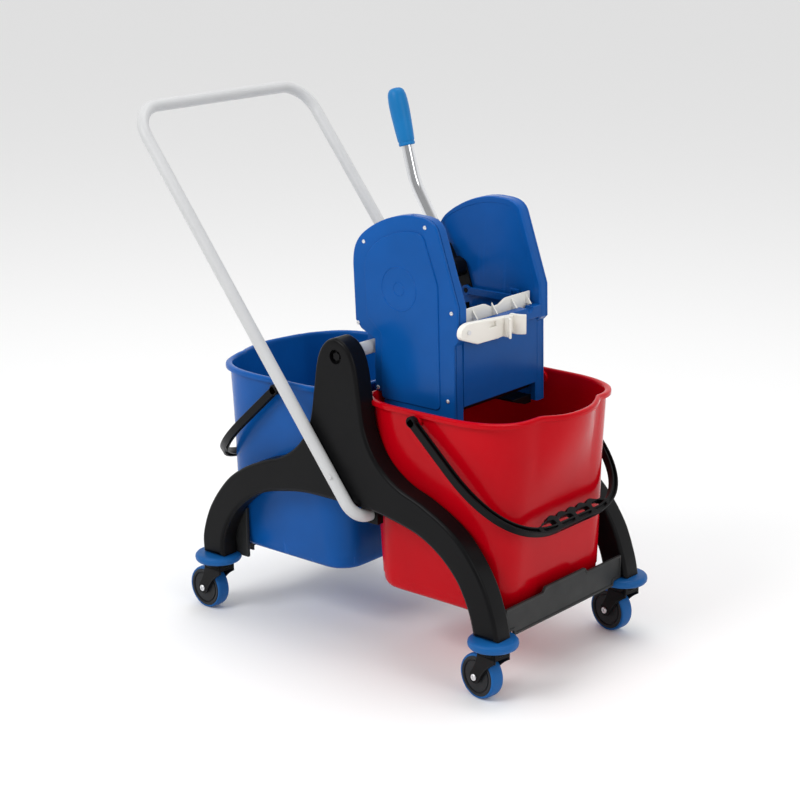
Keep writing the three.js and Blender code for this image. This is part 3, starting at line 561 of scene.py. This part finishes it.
def beam(label, end):
    clear, face, back = BEAM["clear"], BEAM["face"], BEAM["face"] - BEAM["thick"]
    panel = slab([beam_outline()], back, face, "x", 1.0)
    rim = slab([beam_outline(), beam_outline(4)], face - 1, face + 1.4, "x", 0.7)
    ledge = block(back - 34, back + 1, -clear, clear, BEAM["foot"], BEAM["foot"] + 6, 1)
    ribs = [block(back - 34, back + 1, y - 1.5, y + 1.5, 103, 112) for y in range(-120, 121, 40)]
    dark_gap_plates = []
    if end < 0:  # the rear beam has dark plates beside the bucket, filling the dark gap between the rear near leg and the bucket
        spans = [sorted((side * 147, side * BEAM["half"])) for side in (-1, 1)]
        dark_gap_plates = [block(250, back + 1, *span, 104, 192, 2) for span in spans]
    mesh = joined(panel, rim, ledge, *ribs, *dark_gap_plates)
    if end < 0:
        mesh.transform(HOME @ Matrix.Rotation(math.pi, 4, "Z") @ HOME.inverted())
    piece(f"{label}_beam_shell", mesh, "beam_grey", "chassis", [f"{label}_beam"])


HANDLE = {"top": (-436, 861), "low": (44, 252), "y": 204.5, "end": 158, "bends": (30, 55), "radius": 10.2}


def push_handle():
    (top_x, top_z), (low_x, low_z), y, end = HANDLE["top"], HANDLE["low"], HANDLE["y"], HANDLE["end"]
    corners = [(low_x, -end, low_z), (low_x, -y, low_z), (top_x, -y, top_z),
               (top_x, y, top_z), (low_x, y, low_z), (low_x, end, low_z)]
    low_bend, top_bend = HANDLE["bends"]
    route = bent(corners, [low_bend, top_bend, top_bend, low_bend])
    tube = sweep(route, disc(HANDLE["radius"], 36), (0, 0, 1))
    piece("push_handle_tube", tube, "paint", "chassis", ["push_handle"], 60)


def chassis():
    beam("front", 1)
    beam("rear", -1)
    push_handle()
    for label, side in (("right", -1), ("left", 1)):
        side_frame(label, side)
        screw = rod((1.5, side * 214, 316), (0, side, 0), 3.2, 2.2, 1.0, 24)
        piece(f"handle_screw_head_{label}", screw, "paint", "chassis", [f"handle_screw_{label}"])
    ends = [Vector((CROSS_X, side * (FRAME_INNER - 0.3), CROSS_Z)) for side in (-1, 1)]
    cross = sweep(ends, disc(CROSS_RADIUS, 36), (0, 0, 1))
    piece("cross_tube_skin", cross, "paint", "chassis", ["upper_cross_tube"], 60)


# ---------------------------------------------------------------- casters

CASTERS = {f"{end}_{label}": (x, y) for end, x in (("front", 299), ("rear", -299))
           for label, y in (("right", -176), ("left", 176))}
YAW = {"front": math.radians(-8), "rear": math.radians(-2)}
TRAIL, AXLE_Z = 25, 41


def mirrored_profile(half):
    """A profile from its upper half: [radius, distance] points, inner ones first."""
    return [(r, -d) for r, d in half] + [(r, d) for r, d in reversed(half)]


def caster(label):
    x, y = CASTERS[label]
    turn = Matrix.Rotation(YAW[label.split("_")[0]], 4, "Z")
    place = HOME @ Matrix.Translation((x / 1000, y / 1000, 0)) @ turn @ HOME.inverted()

    def fitted(name, mesh, finish, body, node, sharp):
        mesh.transform(place)
        piece(f"{name}_{label}", mesh, finish, body, [f"{node}_{label}"], sharp)

    bumper = [(5.4, 95.5), (34, 95.5), (37.5, 96.5), (39.4, 99), (40, 102.5), (39.4, 106), (37.5, 108.4),
              (34, 109.4), (24, 109.6), (5.4, 109.6)]
    fitted("bumper", lathe(bumper, (0, 0, 0), (0, 0, 1), 72), "tyre_blue", "chassis", "caster_bumper", 50)
    fitted("fork", fork_mesh(), "frame_black", f"caster_{label}", "caster_fork", 40)
    fitted("axle", axle_mesh(), "steel", f"caster_{label}", "caster_axle", 40)
    hub = mirrored_profile([(4.3, 13), (9.5, 13), (10.5, 12), (11.5, 11.4), (24.6, 11.4), (25.4, 9.8),
                            (27, 9.8), (27.8, 11.8), (29, 12.5), (31.4, 12.5), (32.6, 11.6)])
    centre, across = (-TRAIL, 0, AXLE_Z), (0, 1, 0)
    fitted("hub", lathe(hub, centre, across, 72), "hub_grey", f"wheel_{label}", "wheel_hub", 35)
    tread = mirrored_profile([(32.8, 11.4), (34.3, 11.8), (35.6, 11.2), (36.5, 9.4), (36.9, 6), (37, 2)])
    fitted("tyre", lathe(tread, centre, across, 96), "tyre_blue", f"wheel_{label}", "wheel_tyre", 50)


def fork_mesh():
    cheek = outline((20, 94), (-17, 94), ((-19, 76), (-24, 62), (-31, 52)),
                    ((-37, 45), (-37, 36), (-30, 31.5)), ((-24, 28), (-17, 31), (-14, 37)),
                    ((-8, 52), (4, 66), (20, 75)), steps=10)
    bead = outline((19, 75.8), ((3, 67), (-9, 53), (-15, 38)), steps=16)
    cheeks = [slab([cheek], *span, "y", 1.3) for span in ((13.2, 17.2), (-17.2, -13.2))]
    beads = [sweep([Vector((x, y, z)) for x, z in bead], disc(1.0, 8), (0, 1, 0)) for y in (-16.8, 16.8)]
    crown = lathe([(0, 84), (19, 84), (22, 86), (22, 93), (20, 95.2), (0, 95.2)], (0, 0, 0), (0, 0, 1), 48)
    return joined(*cheeks, *beads, crown, block(-17, 20, -17.2, 17.2, 80, 93, 1.3))


def axle_mesh():
    head = [(2.0, 0), (5.4, 0), (5.4, 1.4), (4.6, 2.2), (2.6, 2.2), (2.0, 1.0)]
    ends = [lathe(head, (-TRAIL, side * 17.2, AXLE_Z), (0, side, 0), 32) for side in (-1, 1)]
    return joined(rod((-TRAIL, -18, AXLE_Z), (0, 1, 0), 4, 36, 0.8), *ends)


# ---------------------------------------------------------------- buckets

BUCKET = {"low": 119, "high": 440, "wall": 3, "lip": 6.5, "lip_height": 9, "reach": 28.5, "spout_half": 76}
TOP = {"rear": 16.5, "front": 303, "half": 164, "rear_x": 84, "rear_y": 42, "front_x": 118, "front_y": 96}
BOTTOM = {"rear": 26, "front": 286, "half": 139, "rear_x": 42, "rear_y": 40, "front_x": 46, "front_y": 46}
REAR_SHIFT = -12


def line(a, b, steps):
    """Points of a straight run, without its last one."""
    return [(a[0] + (b[0] - a[0]) * i / steps, a[1] + (b[1] - a[1]) * i / steps) for i in range(steps)]


def rim_wave(x, y, front):
    """One where the rim rises beside the spout, fading to zero."""
    return math.exp(-((abs(y) - BUCKET["spout_half"]) / 26) ** 2) * min(max((x - front + 40) / 40, 0), 1)


def bucket_ring(z, out, spout, steps=10):
    """The bucket's outline at a height, moved out by some millimetres; spout grows from zero to one."""
    t = min(max((z - BUCKET["low"]) / (BUCKET["high"] - BUCKET["low"]), 0), 1)
    at = {key: BOTTOM[key] + (TOP[key] - BOTTOM[key]) * t for key in TOP}
    rear, front, half = at["rear"] - out, at["front"] + out, at["half"] + out
    rx, ry, fx, fy = at["rear_x"], at["rear_y"], at["front_x"], at["front_y"]
    tip = (front + BUCKET["reach"] * spout, 0)
    kink = (front + 6 * spout, (half - fy) * (1 - spout) + BUCKET["spout_half"] * spout)
    side = line((rear, 0), (rear, half - ry), 6)
    side += cubic((rear, half - ry), (rear, half - ry * 0.5), (rear + rx * 0.4, half),
                  (rear + rx, half), steps)
    side += line((rear + rx, half), (front - fx, half), 6)
    side += cubic((front - fx, half), (front - fx * 0.3, half + 0.5), (front + 1.5, half - fy * 0.32),
                  kink, steps + 4)
    side += cubic(kink, (front + 20 * spout, kink[1] * 0.66), (tip[0], kink[1] * 0.4), tip, steps)
    other = [(x, -y) for x, y in reversed(side[1:])]
    points = side + [tip] + other
    return [Vector((x, y, z + 2.5 * rim_wave(x, y, front) * spout * spout)) for x, y in points]


def spout_at(z):
    """How far the spout has grown at a height."""
    t = min(max((z - 285) / (BUCKET["high"] - 285), 0), 1)
    return t * t * (3 - 2 * t)


def bucket_mesh():
    """Rings up the outside, over the lip and down the inside."""
    low, high, wall, lip = BUCKET["low"], BUCKET["high"], BUCKET["wall"], BUCKET["lip"]
    under = high - BUCKET["lip_height"]
    levels = [(low + 1.5, -26), (low, -20), (low, -12), (low + 1.2, -7), (low + 4, -3), (low + 9, -0.8)]
    levels += [(low + 16, 0), (low + 22, 0), (low + 24, 0.9), (low + 60, 1.0), (250, 0.9), (285, 0.8)]
    levels += [(z, 0.4) for z in (310, 335, 360, 385, 410)] + [(under - 2, 0.2), (under - 0.4, 0.8)]
    levels += [(under, lip - 1.4), (under + 0.8, lip), (under + 5, lip), (high - 1.6, lip - 0.5)]
    levels += [(high - 0.3, lip - 2.6), (high, lip - 4.6)]
    levels += [(high - 0.3, -wall + 2), (high - 2, -wall + 0.4), (high - 6, -wall)]
    levels += [(z, -wall) for z in (410, 385, 360, 335, 310, 285, 250, low + 60, low + 22)]
    levels += [(low + 12, -wall - 2), (low + 6, -wall - 7), (low + wall, -wall - 14), (low + wall, -26)]
    return skin([bucket_ring(z, out, spout_at(z)) for z, out in levels])


def bucket(label, finish, shift, flip):
    mesh = bucket_mesh()
    for side in (-1, 1):
        knob = rod((BAIL["x"], side * 156, BAIL["z"]), (0, side, 0), 10.5, 14.4, 1.5)
        rail = block(72, 148, *sorted((side * 146, side * 154.2)), 276.5, 282, 0.8)
        mesh = joined(mesh, knob, rail)
    mesh.transform(bucket_place(shift, flip))
    piece(f"{label}_bucket_shell", mesh, finish, f"{label}_bucket_body", [f"{label}_bucket"], 50)


def bucket_place(shift, flip):
    """Moves a bucket from the front place to its own."""
    turn = Matrix.Rotation(math.pi if flip else 0, 4, "Z")
    return HOME @ Matrix.Translation((shift / 1000, 0, 0)) @ turn @ HOME.inverted()


BAIL = {"x": 140, "z": 425, "y": 177, "reach": 249, "width": 11, "thick": 13, "grip": 22, "drop": 42}


def bail_route():
    """The middle line of the band, flat about its pivot, from one arm round the grip to the other."""
    y, reach = BAIL["y"], BAIL["reach"]
    corner = outline((105, y), ((190, y - 2), (reach - 2, 135), (reach, 54)), steps=30)
    half = [(-4, y), (40, y), (75, y)] + corner + [(reach, 20)]
    return [Vector((u, -v, 0)) for u, v in half] + [Vector((u, v, 0)) for u, v in reversed(half)]


def bail_grip():
    reach, width, grip, thick = BAIL["reach"], BAIL["width"], BAIL["grip"], BAIL["thick"]
    far, near = reach + width / 2, reach + width / 2 - grip
    loop = [(far - 6, -90), (far - 1.6, -72), (far, -52), (far, 52), (far - 1.6, 72), (far - 6, 90)]
    loop += [(near + 6, 94), (near, 68)]
    for bump in (2, 1, 0, -1, -2):
        for k in range(1, 10):
            rise = 5.5 * math.sin(math.pi * k / 10) ** 0.8
            loop.append((near - rise, bump * 26 + 13 - 2.6 * k))
        loop.append((near, bump * 26 - 13))
    loop.append((near + 6, -94))
    places = ((-66, 1.5), (-22, 0), (22, 0), (66, 1.5))
    holes = [rounded_loop((near + far) / 2 - bow, middle, grip / 2 - 4, 17) for middle, bow in places]
    return slab([loop, *holes], -thick / 2 + 1, thick / 2 - 1, "z", 1.4)


def rounded_loop(u, v, half_u, half_v, steps=20):
    """A rounded oblong."""
    def soft(value):
        return math.copysign(abs(value) ** 0.45, value)

    turns = [2 * math.pi * k / steps for k in range(steps)]
    return [(u + half_u * soft(math.cos(t)), v + half_v * soft(math.sin(t))) for t in turns]


def bail(label, shift, flip):
    y, width, thick = BAIL["y"], BAIL["width"], BAIL["thick"]
    route = bail_route()
    half, edge = thick / 2, 2.8
    bars = []
    for low, high in ((-width / 2, -width / 2 + edge), (width / 2 - edge, width / 2)):
        section = [(low + 0.6, -half), (high - 0.6, -half), (high, -half + 0.6), (high, half - 0.6),
                   (high - 0.6, half), (low + 0.6, half), (low, half - 0.6), (low, -half + 0.6)]
        bars.append(sweep(route, section, (0, 0, 1)))
    web = width / 2 - 1
    bars.append(sweep(route, [(-web, -1.5), (web, -1.5), (web, 1.5), (-web, 1.5)], (0, 0, 1)))
    for side in (-1, 1):
        bars.append(rod((0, side * (y + width / 2), 0), (0, -side, 0), 9, width, 1.4))
        bars.append(rod((0, side * (y - 4), 0), (0, -side, 0), 4, 18, 0.8))
    mesh = joined(*bars, bail_grip())
    drop = Matrix.Rotation(math.radians(BAIL["drop"]), 4, "Y")
    hang = Matrix.Translation((BAIL["x"] / 1000, 0, BAIL["z"] / 1000)) @ drop
    mesh.transform(bucket_place(shift, flip) @ HOME @ hang @ HOME.inverted())
    piece(f"{label}_bail_bar", mesh, "frame_black", f"{label}_bail_body", [f"{label}_bail"], 40)


# ---------------------------------------------------------------- wringer

WRINGER_OUTER, COVER, WRINGER_INNER, FOOT = 116, 6, 94, 404
SHAFT = (20, 609)


def casing_outline(inset=0.0):
    i = inset
    return outline(
        (12 + i, 524 + i * 0.4), (12 + i, 440 + i), (30 + i, 440 + i), (30 + i, FOOT + i),
        (176 - i, FOOT + i), (174 - i, 537), (182 - i, 545),
        (181 - i, 598 - i * 0.3), (143 - i, 708 - i * 0.3),
        ((138 - i, 724 - i * 0.6), (126 - i * 0.6, 731 - i), (100, 731 - i)),
        ((60, 735 - i), (10, 712 - i), (-14, 690 - i * 0.7)),
        ((-28 + i * 0.6, 676 - i * 0.7), (-32 + i, 662), (-32 + i, 640)),
        (-28 + i, 550 + i * 0.6), (-16 + i * 0.5, 537 + i * 0.9), steps=12)


def panel_outline():
    return outline(
        (36, 430), (136, 430), ((142, 430), (147, 433), (147, 440)), (143, 628), (117, 696),
        ((113, 706), (104, 708), (90, 707)), ((50, 704), (14, 684), (2, 664)),
        ((-6, 652), (-6, 645), (-6, 632)), (-2, 560), (27, 536), (27, 438),
        ((27, 434), (30, 430), (36, 430)), steps=10)


def handed(label, mesh):
    """Shapes are drawn on the left side; the right one is their mirror image."""
    return mirrored(mesh) if label == "right" else mesh


def cover_mesh():
    outer = WRINGER_OUTER
    cover = slab([casing_outline()], outer - COVER + 0.3, outer, "y", 2.2)
    panel = slab([panel_outline()], outer - 2, outer + 2.3, "y", 1.7)
    emblem = (65, outer + 2.2, 613)
    ring = lathe([(34, 0), (36, 0), (35.5, 0.9), (34.5, 0.9)], emblem, (0, 1, 0), 96)
    small = lathe([(10, 0), (11.6, 0), (11.2, 0.8), (10.4, 0.8)], emblem, (0, 1, 0), 64)
    return joined(cover, panel, ring, small)


def casing_mesh():
    outer, inner = WRINGER_OUTER, WRINGER_INNER
    tray = slab([casing_outline(), casing_outline(5)], inner + 3, outer - COVER, "y", 0.8)
    wall = slab([casing_outline(0.5)], inner, inner + 4, "y", 1.2)
    rim = slab([casing_outline(1.0), casing_outline(10)], inner - 0.9, inner + 1.6, "y", 0.8)
    return joined(tray, wall, rim)


def cover_screws_mesh():
    profile = [(0, 0), (3.2, 0), (3.2, 0.7), (2.4, 1.5), (1.0, 1.7), (1.0, 0.9), (0, 0.9)]
    places = ((-8, 679), (117, 716), (169, 589), (-22, 546), (19, 446), (162, 448))
    heads = [lathe(profile, (x, WRINGER_OUTER - 0.1, z), (0, 1, 0), 24) for x, z in places]
    return joined(*heads)


def hook_mesh():
    """A plate with a half-round seat over the cross tube."""
    reach = CROSS_RADIUS + 0.3
    turns = [math.pi * k / 12 for k in range(13)]
    seat = [(CROSS_X - reach * math.cos(turn), CROSS_Z + reach * math.sin(turn)) for turn in turns]
    hook = [(-22, 500), (-14.3, 494), *seat, (8.3, 441), (60, 441)]
    hook += [(60, 512), (48, 545), (-15, 545), (-22, 538)]
    slits = [[(20, 455), (26, 455), (26, 497), (20, 497)], [(-10, 526), (30, 526), (30, 533), (-10, 533)]]
    return slab([hook, *slits], 88.7, 93.7, "y", 0.8)


def wringer_side(label):
    cover, casing = handed(label, cover_mesh()), handed(label, casing_mesh())
    screws, hook = handed(label, cover_screws_mesh()), handed(label, hook_mesh())
    piece(f"cover_{label}", cover, "blue", "wringer", [f"wringer_cover_{label}"], 40)
    piece(f"casing_{label}", casing, "blue", "wringer", [f"wringer_casing_{label}"], 40)
    piece(f"cover_screws_{label}", screws, "steel", "wringer")
    piece(f"hook_{label}", hook, "blue", "wringer", [f"wringer_hook_{label}"], 40)


def front_wall():
    half = WRINGER_INNER - 0.3
    wall = slab([[(-half, 436), (half, 436), (half, 560), (-half, 560)]], 168, 176, "x", 1.2)
    turns = [math.pi * k / 12 for k in range(12, -1, -1)]
    notch = [(64 - 8 * math.cos(turn), 567 - 8 * math.sin(turn)) for turn in turns]
    band = slab([[(-half, 547), (half, 547), (half, 567), *notch, (-half, 567)]], 168, 184.5, "x", 1.6)
    piece("front_wall_shell", joined(wall, band), "blue", "wringer", ["wringer_front_wall"], 40)


PLATE = {"half": 90.5, "face": 164, "thick": 3.5}
PLATE_PIN_X = 137


def press_plate():
    half, face = PLATE["half"], PLATE["face"]
    dip = [(30, 587), (24, 586), (10, 579.6), (4, 579)]
    dip += [(-y, z) for y, z in reversed(dip)]
    loop = [(-half, 446), (half, 446), (half, 587), *dip, (-half, 587)]
    holes = [[(y - 4, 462), (y + 4, 462), (y + 4, 540), (y - 4, 540)] for y in range(-66, 67, 22)]
    plate = slab([loop, *holes], face - PLATE["thick"], face, "x", 0.8)
    fin = [(face - 1, 585.5), (face - 1, 568.8), (face + 11, 568.8)]
    fins = [slab([fin], y - 1.4, y + 1.4, "y", 0.5) for y in (-58, -8, 42, 80)]
    bar = block(face - 10, face, -half, half, 436, 448, 1)
    sleeve = lathe([(4.3, 0), (7.5, 0), (7.5, 181), (4.3, 181)], (158, -half, 432), (0, 1, 0), 32)
    piece("press_plate_foot", joined(bar, sleeve), "frame_black", "jaw", (), 40)
    piece("press_plate_lugs", joined(*press_plate_lugs()), "blue", "jaw", (), 40)
    piece("press_plate_shell", joined(plate, *fins), "white", "jaw", ["press_plate"], 40)


def press_plate_lugs():
    """An eye and a pin on each side, for the pull links."""
    back, pin_x, pin_z = PLATE["face"] - 2, PLATE_PIN_X, crank_pin()[1]
    tip = ((pin_x - 9, pin_z - 5), (pin_x - 9, pin_z + 5), (pin_x - 3, pin_z + 7))
    eye = outline((back, pin_z - 14), (pin_x - 3, pin_z - 7), tip, (back, pin_z + 13))
    lugs = []
    for side in (-1, 1):
        lugs.append(slab([eye], *sorted((side * LUG[0], side * LUG[1])), "y", 0.7))
        pin_length = LINK[1] - LUG[1] + 1.5
        lugs.append(rod((pin_x, side * (LUG[1] - 1), pin_z), (0, side, 0), 3.5, pin_length, 0.6))
    return lugs


def drain_grid():
    """The floor under the jaws, slotted, with a solid corner at its far front end."""
    plate = [(33.3, -93.7), (124, -93.7), (124, 93.7), (33.3, 93.7)]
    slots = [[(48, y - 4), (112, y - 4), (112, y + 4), (48, y + 4)] for y in range(-72, 73, 24)]
    floor = slab([plate, *slots], 408, 414, "z", 0.8)
    corner = slab([[(93.7, 400), (93.7, 414), (44, 414), (44, 411), (78, 400)]], 120, 166, "x", 0.8)
    piece("drain_grid_shell", joined(floor, corner), "frame_black", "wringer", ["wringer_drain_grid"], 40)


LUG, LINK, CRANK = (78, 82), (83, 88), (88.6, 92.6)  # where each lies between the middle plane and a side
CRANK_LENGTH, CRANK_ANGLE = 42, math.radians(-65)


def crank_pin():
    """Where the cranks hold the pull links, at rest."""
    x, z = SHAFT
    return x + CRANK_LENGTH * math.cos(CRANK_ANGLE), z + CRANK_LENGTH * math.sin(CRANK_ANGLE)


def arm_outline(a, b, ra, rb, steps=12):
    """Two circles and the straight sides that join them."""
    direction = math.atan2(b[1] - a[1], b[0] - a[0])

    def half_circle(centre, radius, start):
        turns = [direction + start + math.pi * k / steps for k in range(steps + 1)]
        x, z = centre
        return [(x + radius * math.cos(turn), z + radius * math.sin(turn)) for turn in turns]

    return half_circle(a, ra, math.pi / 2) + half_circle(b, rb, -math.pi / 2)


def ring_points(x, z, radius):
    return [(x + u, z + v) for u, v in disc(radius, 24)]


def rectangle(x, z, half_x, half_z):
    corners = ((-1, -1), (1, -1), (1, 1), (-1, 1))
    return [(x + u * half_x, z + v * half_z) for u, v in corners]


def crank_mesh():
    pin = crank_pin()
    arm = slab([arm_outline(SHAFT, pin, 14, 9), ring_points(*SHAFT, 8.3)], *CRANK, "y", 0.8)
    stud = rod((pin[0], LINK[0] - 0.5, pin[1]), (0, 1, 0), 4, CRANK[0] - LINK[0] + 1.5, 0.6)
    return joined(arm, stud)


def link_mesh():
    """A boss on the crank's stud, a rail, and a slotted plate round the press plate's pin."""
    x, z = crank_pin()
    start, end = x + 7, PLATE_PIN_X - 7
    rail = slab([rectangle((start + end) / 2, z, (end - start) / 2, 6)], *LINK, "y", 0.8)
    eye, slot = rectangle(PLATE_PIN_X, z, 8.4, 16.5), rectangle(PLATE_PIN_X, z, 5.4, 12.5)
    eye_plate = slab([eye, slot], *LINK, "y", 0.8)
    boss = slab([ring_points(x, z, 9), ring_points(x, z, 4.3)], *LINK, "y", 0.8)
    return joined(rail, eye_plate, boss)


def drive():
    for label in ("right", "left"):
        crank, link = handed(label, crank_mesh()), handed(label, link_mesh())
        piece(f"crank_{label}", crank, "frame_black", "lever", [f"crank_arm_{label}"], 40)
        piece(f"link_{label}", link, "blue", "links", [f"pull_link_{label}"], 40)


LEVER = {"y": 75, "bend": (-63, 741), "top": (-104, 893), "grip": 96, "radius": 10}


def lever():
    y = LEVER["y"]
    pivot, bend, top = [Vector((x, y, z)) for x, z in (SHAFT, LEVER["bend"], LEVER["top"])]
    lower, upper = (bend - pivot).normalized(), (top - bend).normalized()
    route = bent([pivot + lower * 15, bend, top - upper * 8], [120], 20)
    tube = sweep(route, disc(LEVER["radius"], 36), (0, 1, 0))
    piece("lever_tube_skin", tube, "chrome", "lever", ["lever_tube"], 60)
    piece("lever_grip_skin", lathe(grip_profile(), top, upper), "grip_blue", "lever", ["lever_grip"])
    collar = lathe([(10.3, 12), (12.4, 12), (12.4, 38), (11.4, 39.5), (10.3, 39.5)], pivot, lower, 36)
    barrel = [(8.3, -11), (16, -11), (17, -10), (17, 11.4), (16, 12.4), (8.3, 12.4)]
    drum = lathe(barrel, pivot, (0, 1, 0), 40)
    piece("lever_hub_shell", joined(drum, collar), "frame_black", "lever", ["lever_hub"])
    ring = [(8.3, 0), (15.5, 0), (15.5, 1.6), (14.6, 2.4), (8.3, 2.4)]
    washer = lathe(ring, pivot - Vector((0, 15.7, 0)), (0, 1, 0))
    piece("lever_washer_ring", washer, "steel", "lever", ["lever_washer"])
    hexagon = [(8.3, 0), (11.5, 0), (12.6, 1), (12.6, 6), (8.3, 6)]
    nut = lathe(hexagon, pivot - Vector((0, 22, 0)), (0, 1, 0), 6)
    piece("lever_nut_hex", nut, "steel", "lever", ["lever_nut"], 30)
    shaft = lathe(shaft_profile(), (SHAFT[0], -100, SHAFT[1]), (0, 1, 0), 40)
    piece("drive_shaft_bar", shaft, "steel", "lever", ["drive_shaft"], 40)


def grip_profile():
    """A moulded grip, from its ribbed lower end to its round top."""
    length = LEVER["grip"]
    lower = [(10.3, 0), (12.4, 0), (13.4, 1.2), (13.6, 4), (12.9, 5.2), (12.9, 6.4), (13.9, 8)]
    profile = [(radius, rise - length) for radius, rise in lower]
    profile += [(15, -length * 0.75), (16.1, -length * 0.5), (16.4, -length * 0.34)]
    profile += [(16.1, -22), (15.2, -13), (13.6, -7), (11, -3), (7, -0.8), (0, 0), (0, -6), (10.3, -6)]
    return profile


def shaft_profile():
    """A bar with chamfered ends and a groove near each, for the snap rings."""
    end = [(0, 0), (7, 0), (8, 1), (8, 3), (7.2, 3.3), (7.2, 4.7), (8, 5)]
    return end + [(radius, 200 - distance) for radius, distance in reversed(end)]


def handle_clip():
    back, thick, y, z = 186, 10, -108, 561.5
    arm = outline((y - 12, z - 10), ((y - 20, z - 6), (y - 18, z + 6), (y - 13, z + 9)),
                  ((y - 6, z + 14), (y, z + 14), (y + 8, z + 14)),
                  (10, z + 6), (10, z - 21), (-32, z - 24), (y + 24, z - 23), steps=8)
    slot = [(-54, z - 3), (-38, z - 3), (-38, z + 5), (-54, z + 5)]
    plate = slab([arm, slot], back, back + thick, "x", 2)
    pocket = block(back + 0.5, back + 5, -57, -35, z - 6, z + 8, 0.4)
    outlines = [finger_outline(back, root, out) for root, out in ((-16, -7), (8, 7))]
    fingers = [slab([loop], z - 24, z + 8, "z", 1.4) for loop in outlines]
    piece("handle_clip_shell", joined(plate, pocket, *fingers), "white", "clip", ["handle_clip"], 40)


def finger_outline(back, root, out):
    """A finger seen from above: its root in the arm, its tip turned outwards."""
    return outline(
        (back + 2, root - 3), (back + 14, root - 3),
        ((back + 20, root - 3), (back + 23, root - 3 + out * 0.6), (back + 26, root - 3 + out)),
        ((back + 28, root - 1 + out), (back + 28, root + 1 + out), (back + 26, root + 2 + out)),
        ((back + 22, root + 2 + out * 0.6), (back + 18, root + 3), (back + 12, root + 3)),
        (back + 2, root + 3), steps=8)


def wringer():
    for label in ("right", "left"):
        wringer_side(label)
    front_wall()
    drain_grid()
    press_plate()
    drive()
    lever()
    handle_clip()


# ---------------------------------------------------------------- carried-over CAD pieces

# the CAD pieces that no piece above replaces: the radius given to their edges
ROUNDED = {"wringer_rear_wall": 0.8, "rear_press_plate": 0.8, "jaw_hinge_rod": 0.6, "handle_clip_screw": 0.8,
           "handle_clamp_right": 2, "handle_clamp_left": 2,
           "cross_tube_bolt_right": 0.8, "cross_tube_bolt_left": 0.8}


def carried_over():
    """Gives every CAD piece its material, and rounds the edges of those that stay in sight."""
    for part in frame["record"]["subparts"]:
        node = frame["nodes"][part["node"]]
        node.data.materials.clear()
        node.data.materials.append(FINISH[part["material_slot"]])
        if part["node"] in ROUNDED:
            finish_surface(node, 35, ROUNDED[part["node"]])


make_camera()
make_studio()
chassis()
for name in CASTERS:
    caster(name)
bucket("front", "red", 0, False)
bucket("rear", "blue", REAR_SHIFT, True)
bail("front", 0, False)
bail("rear", REAR_SHIFT, True)
wringer()
carried_over()
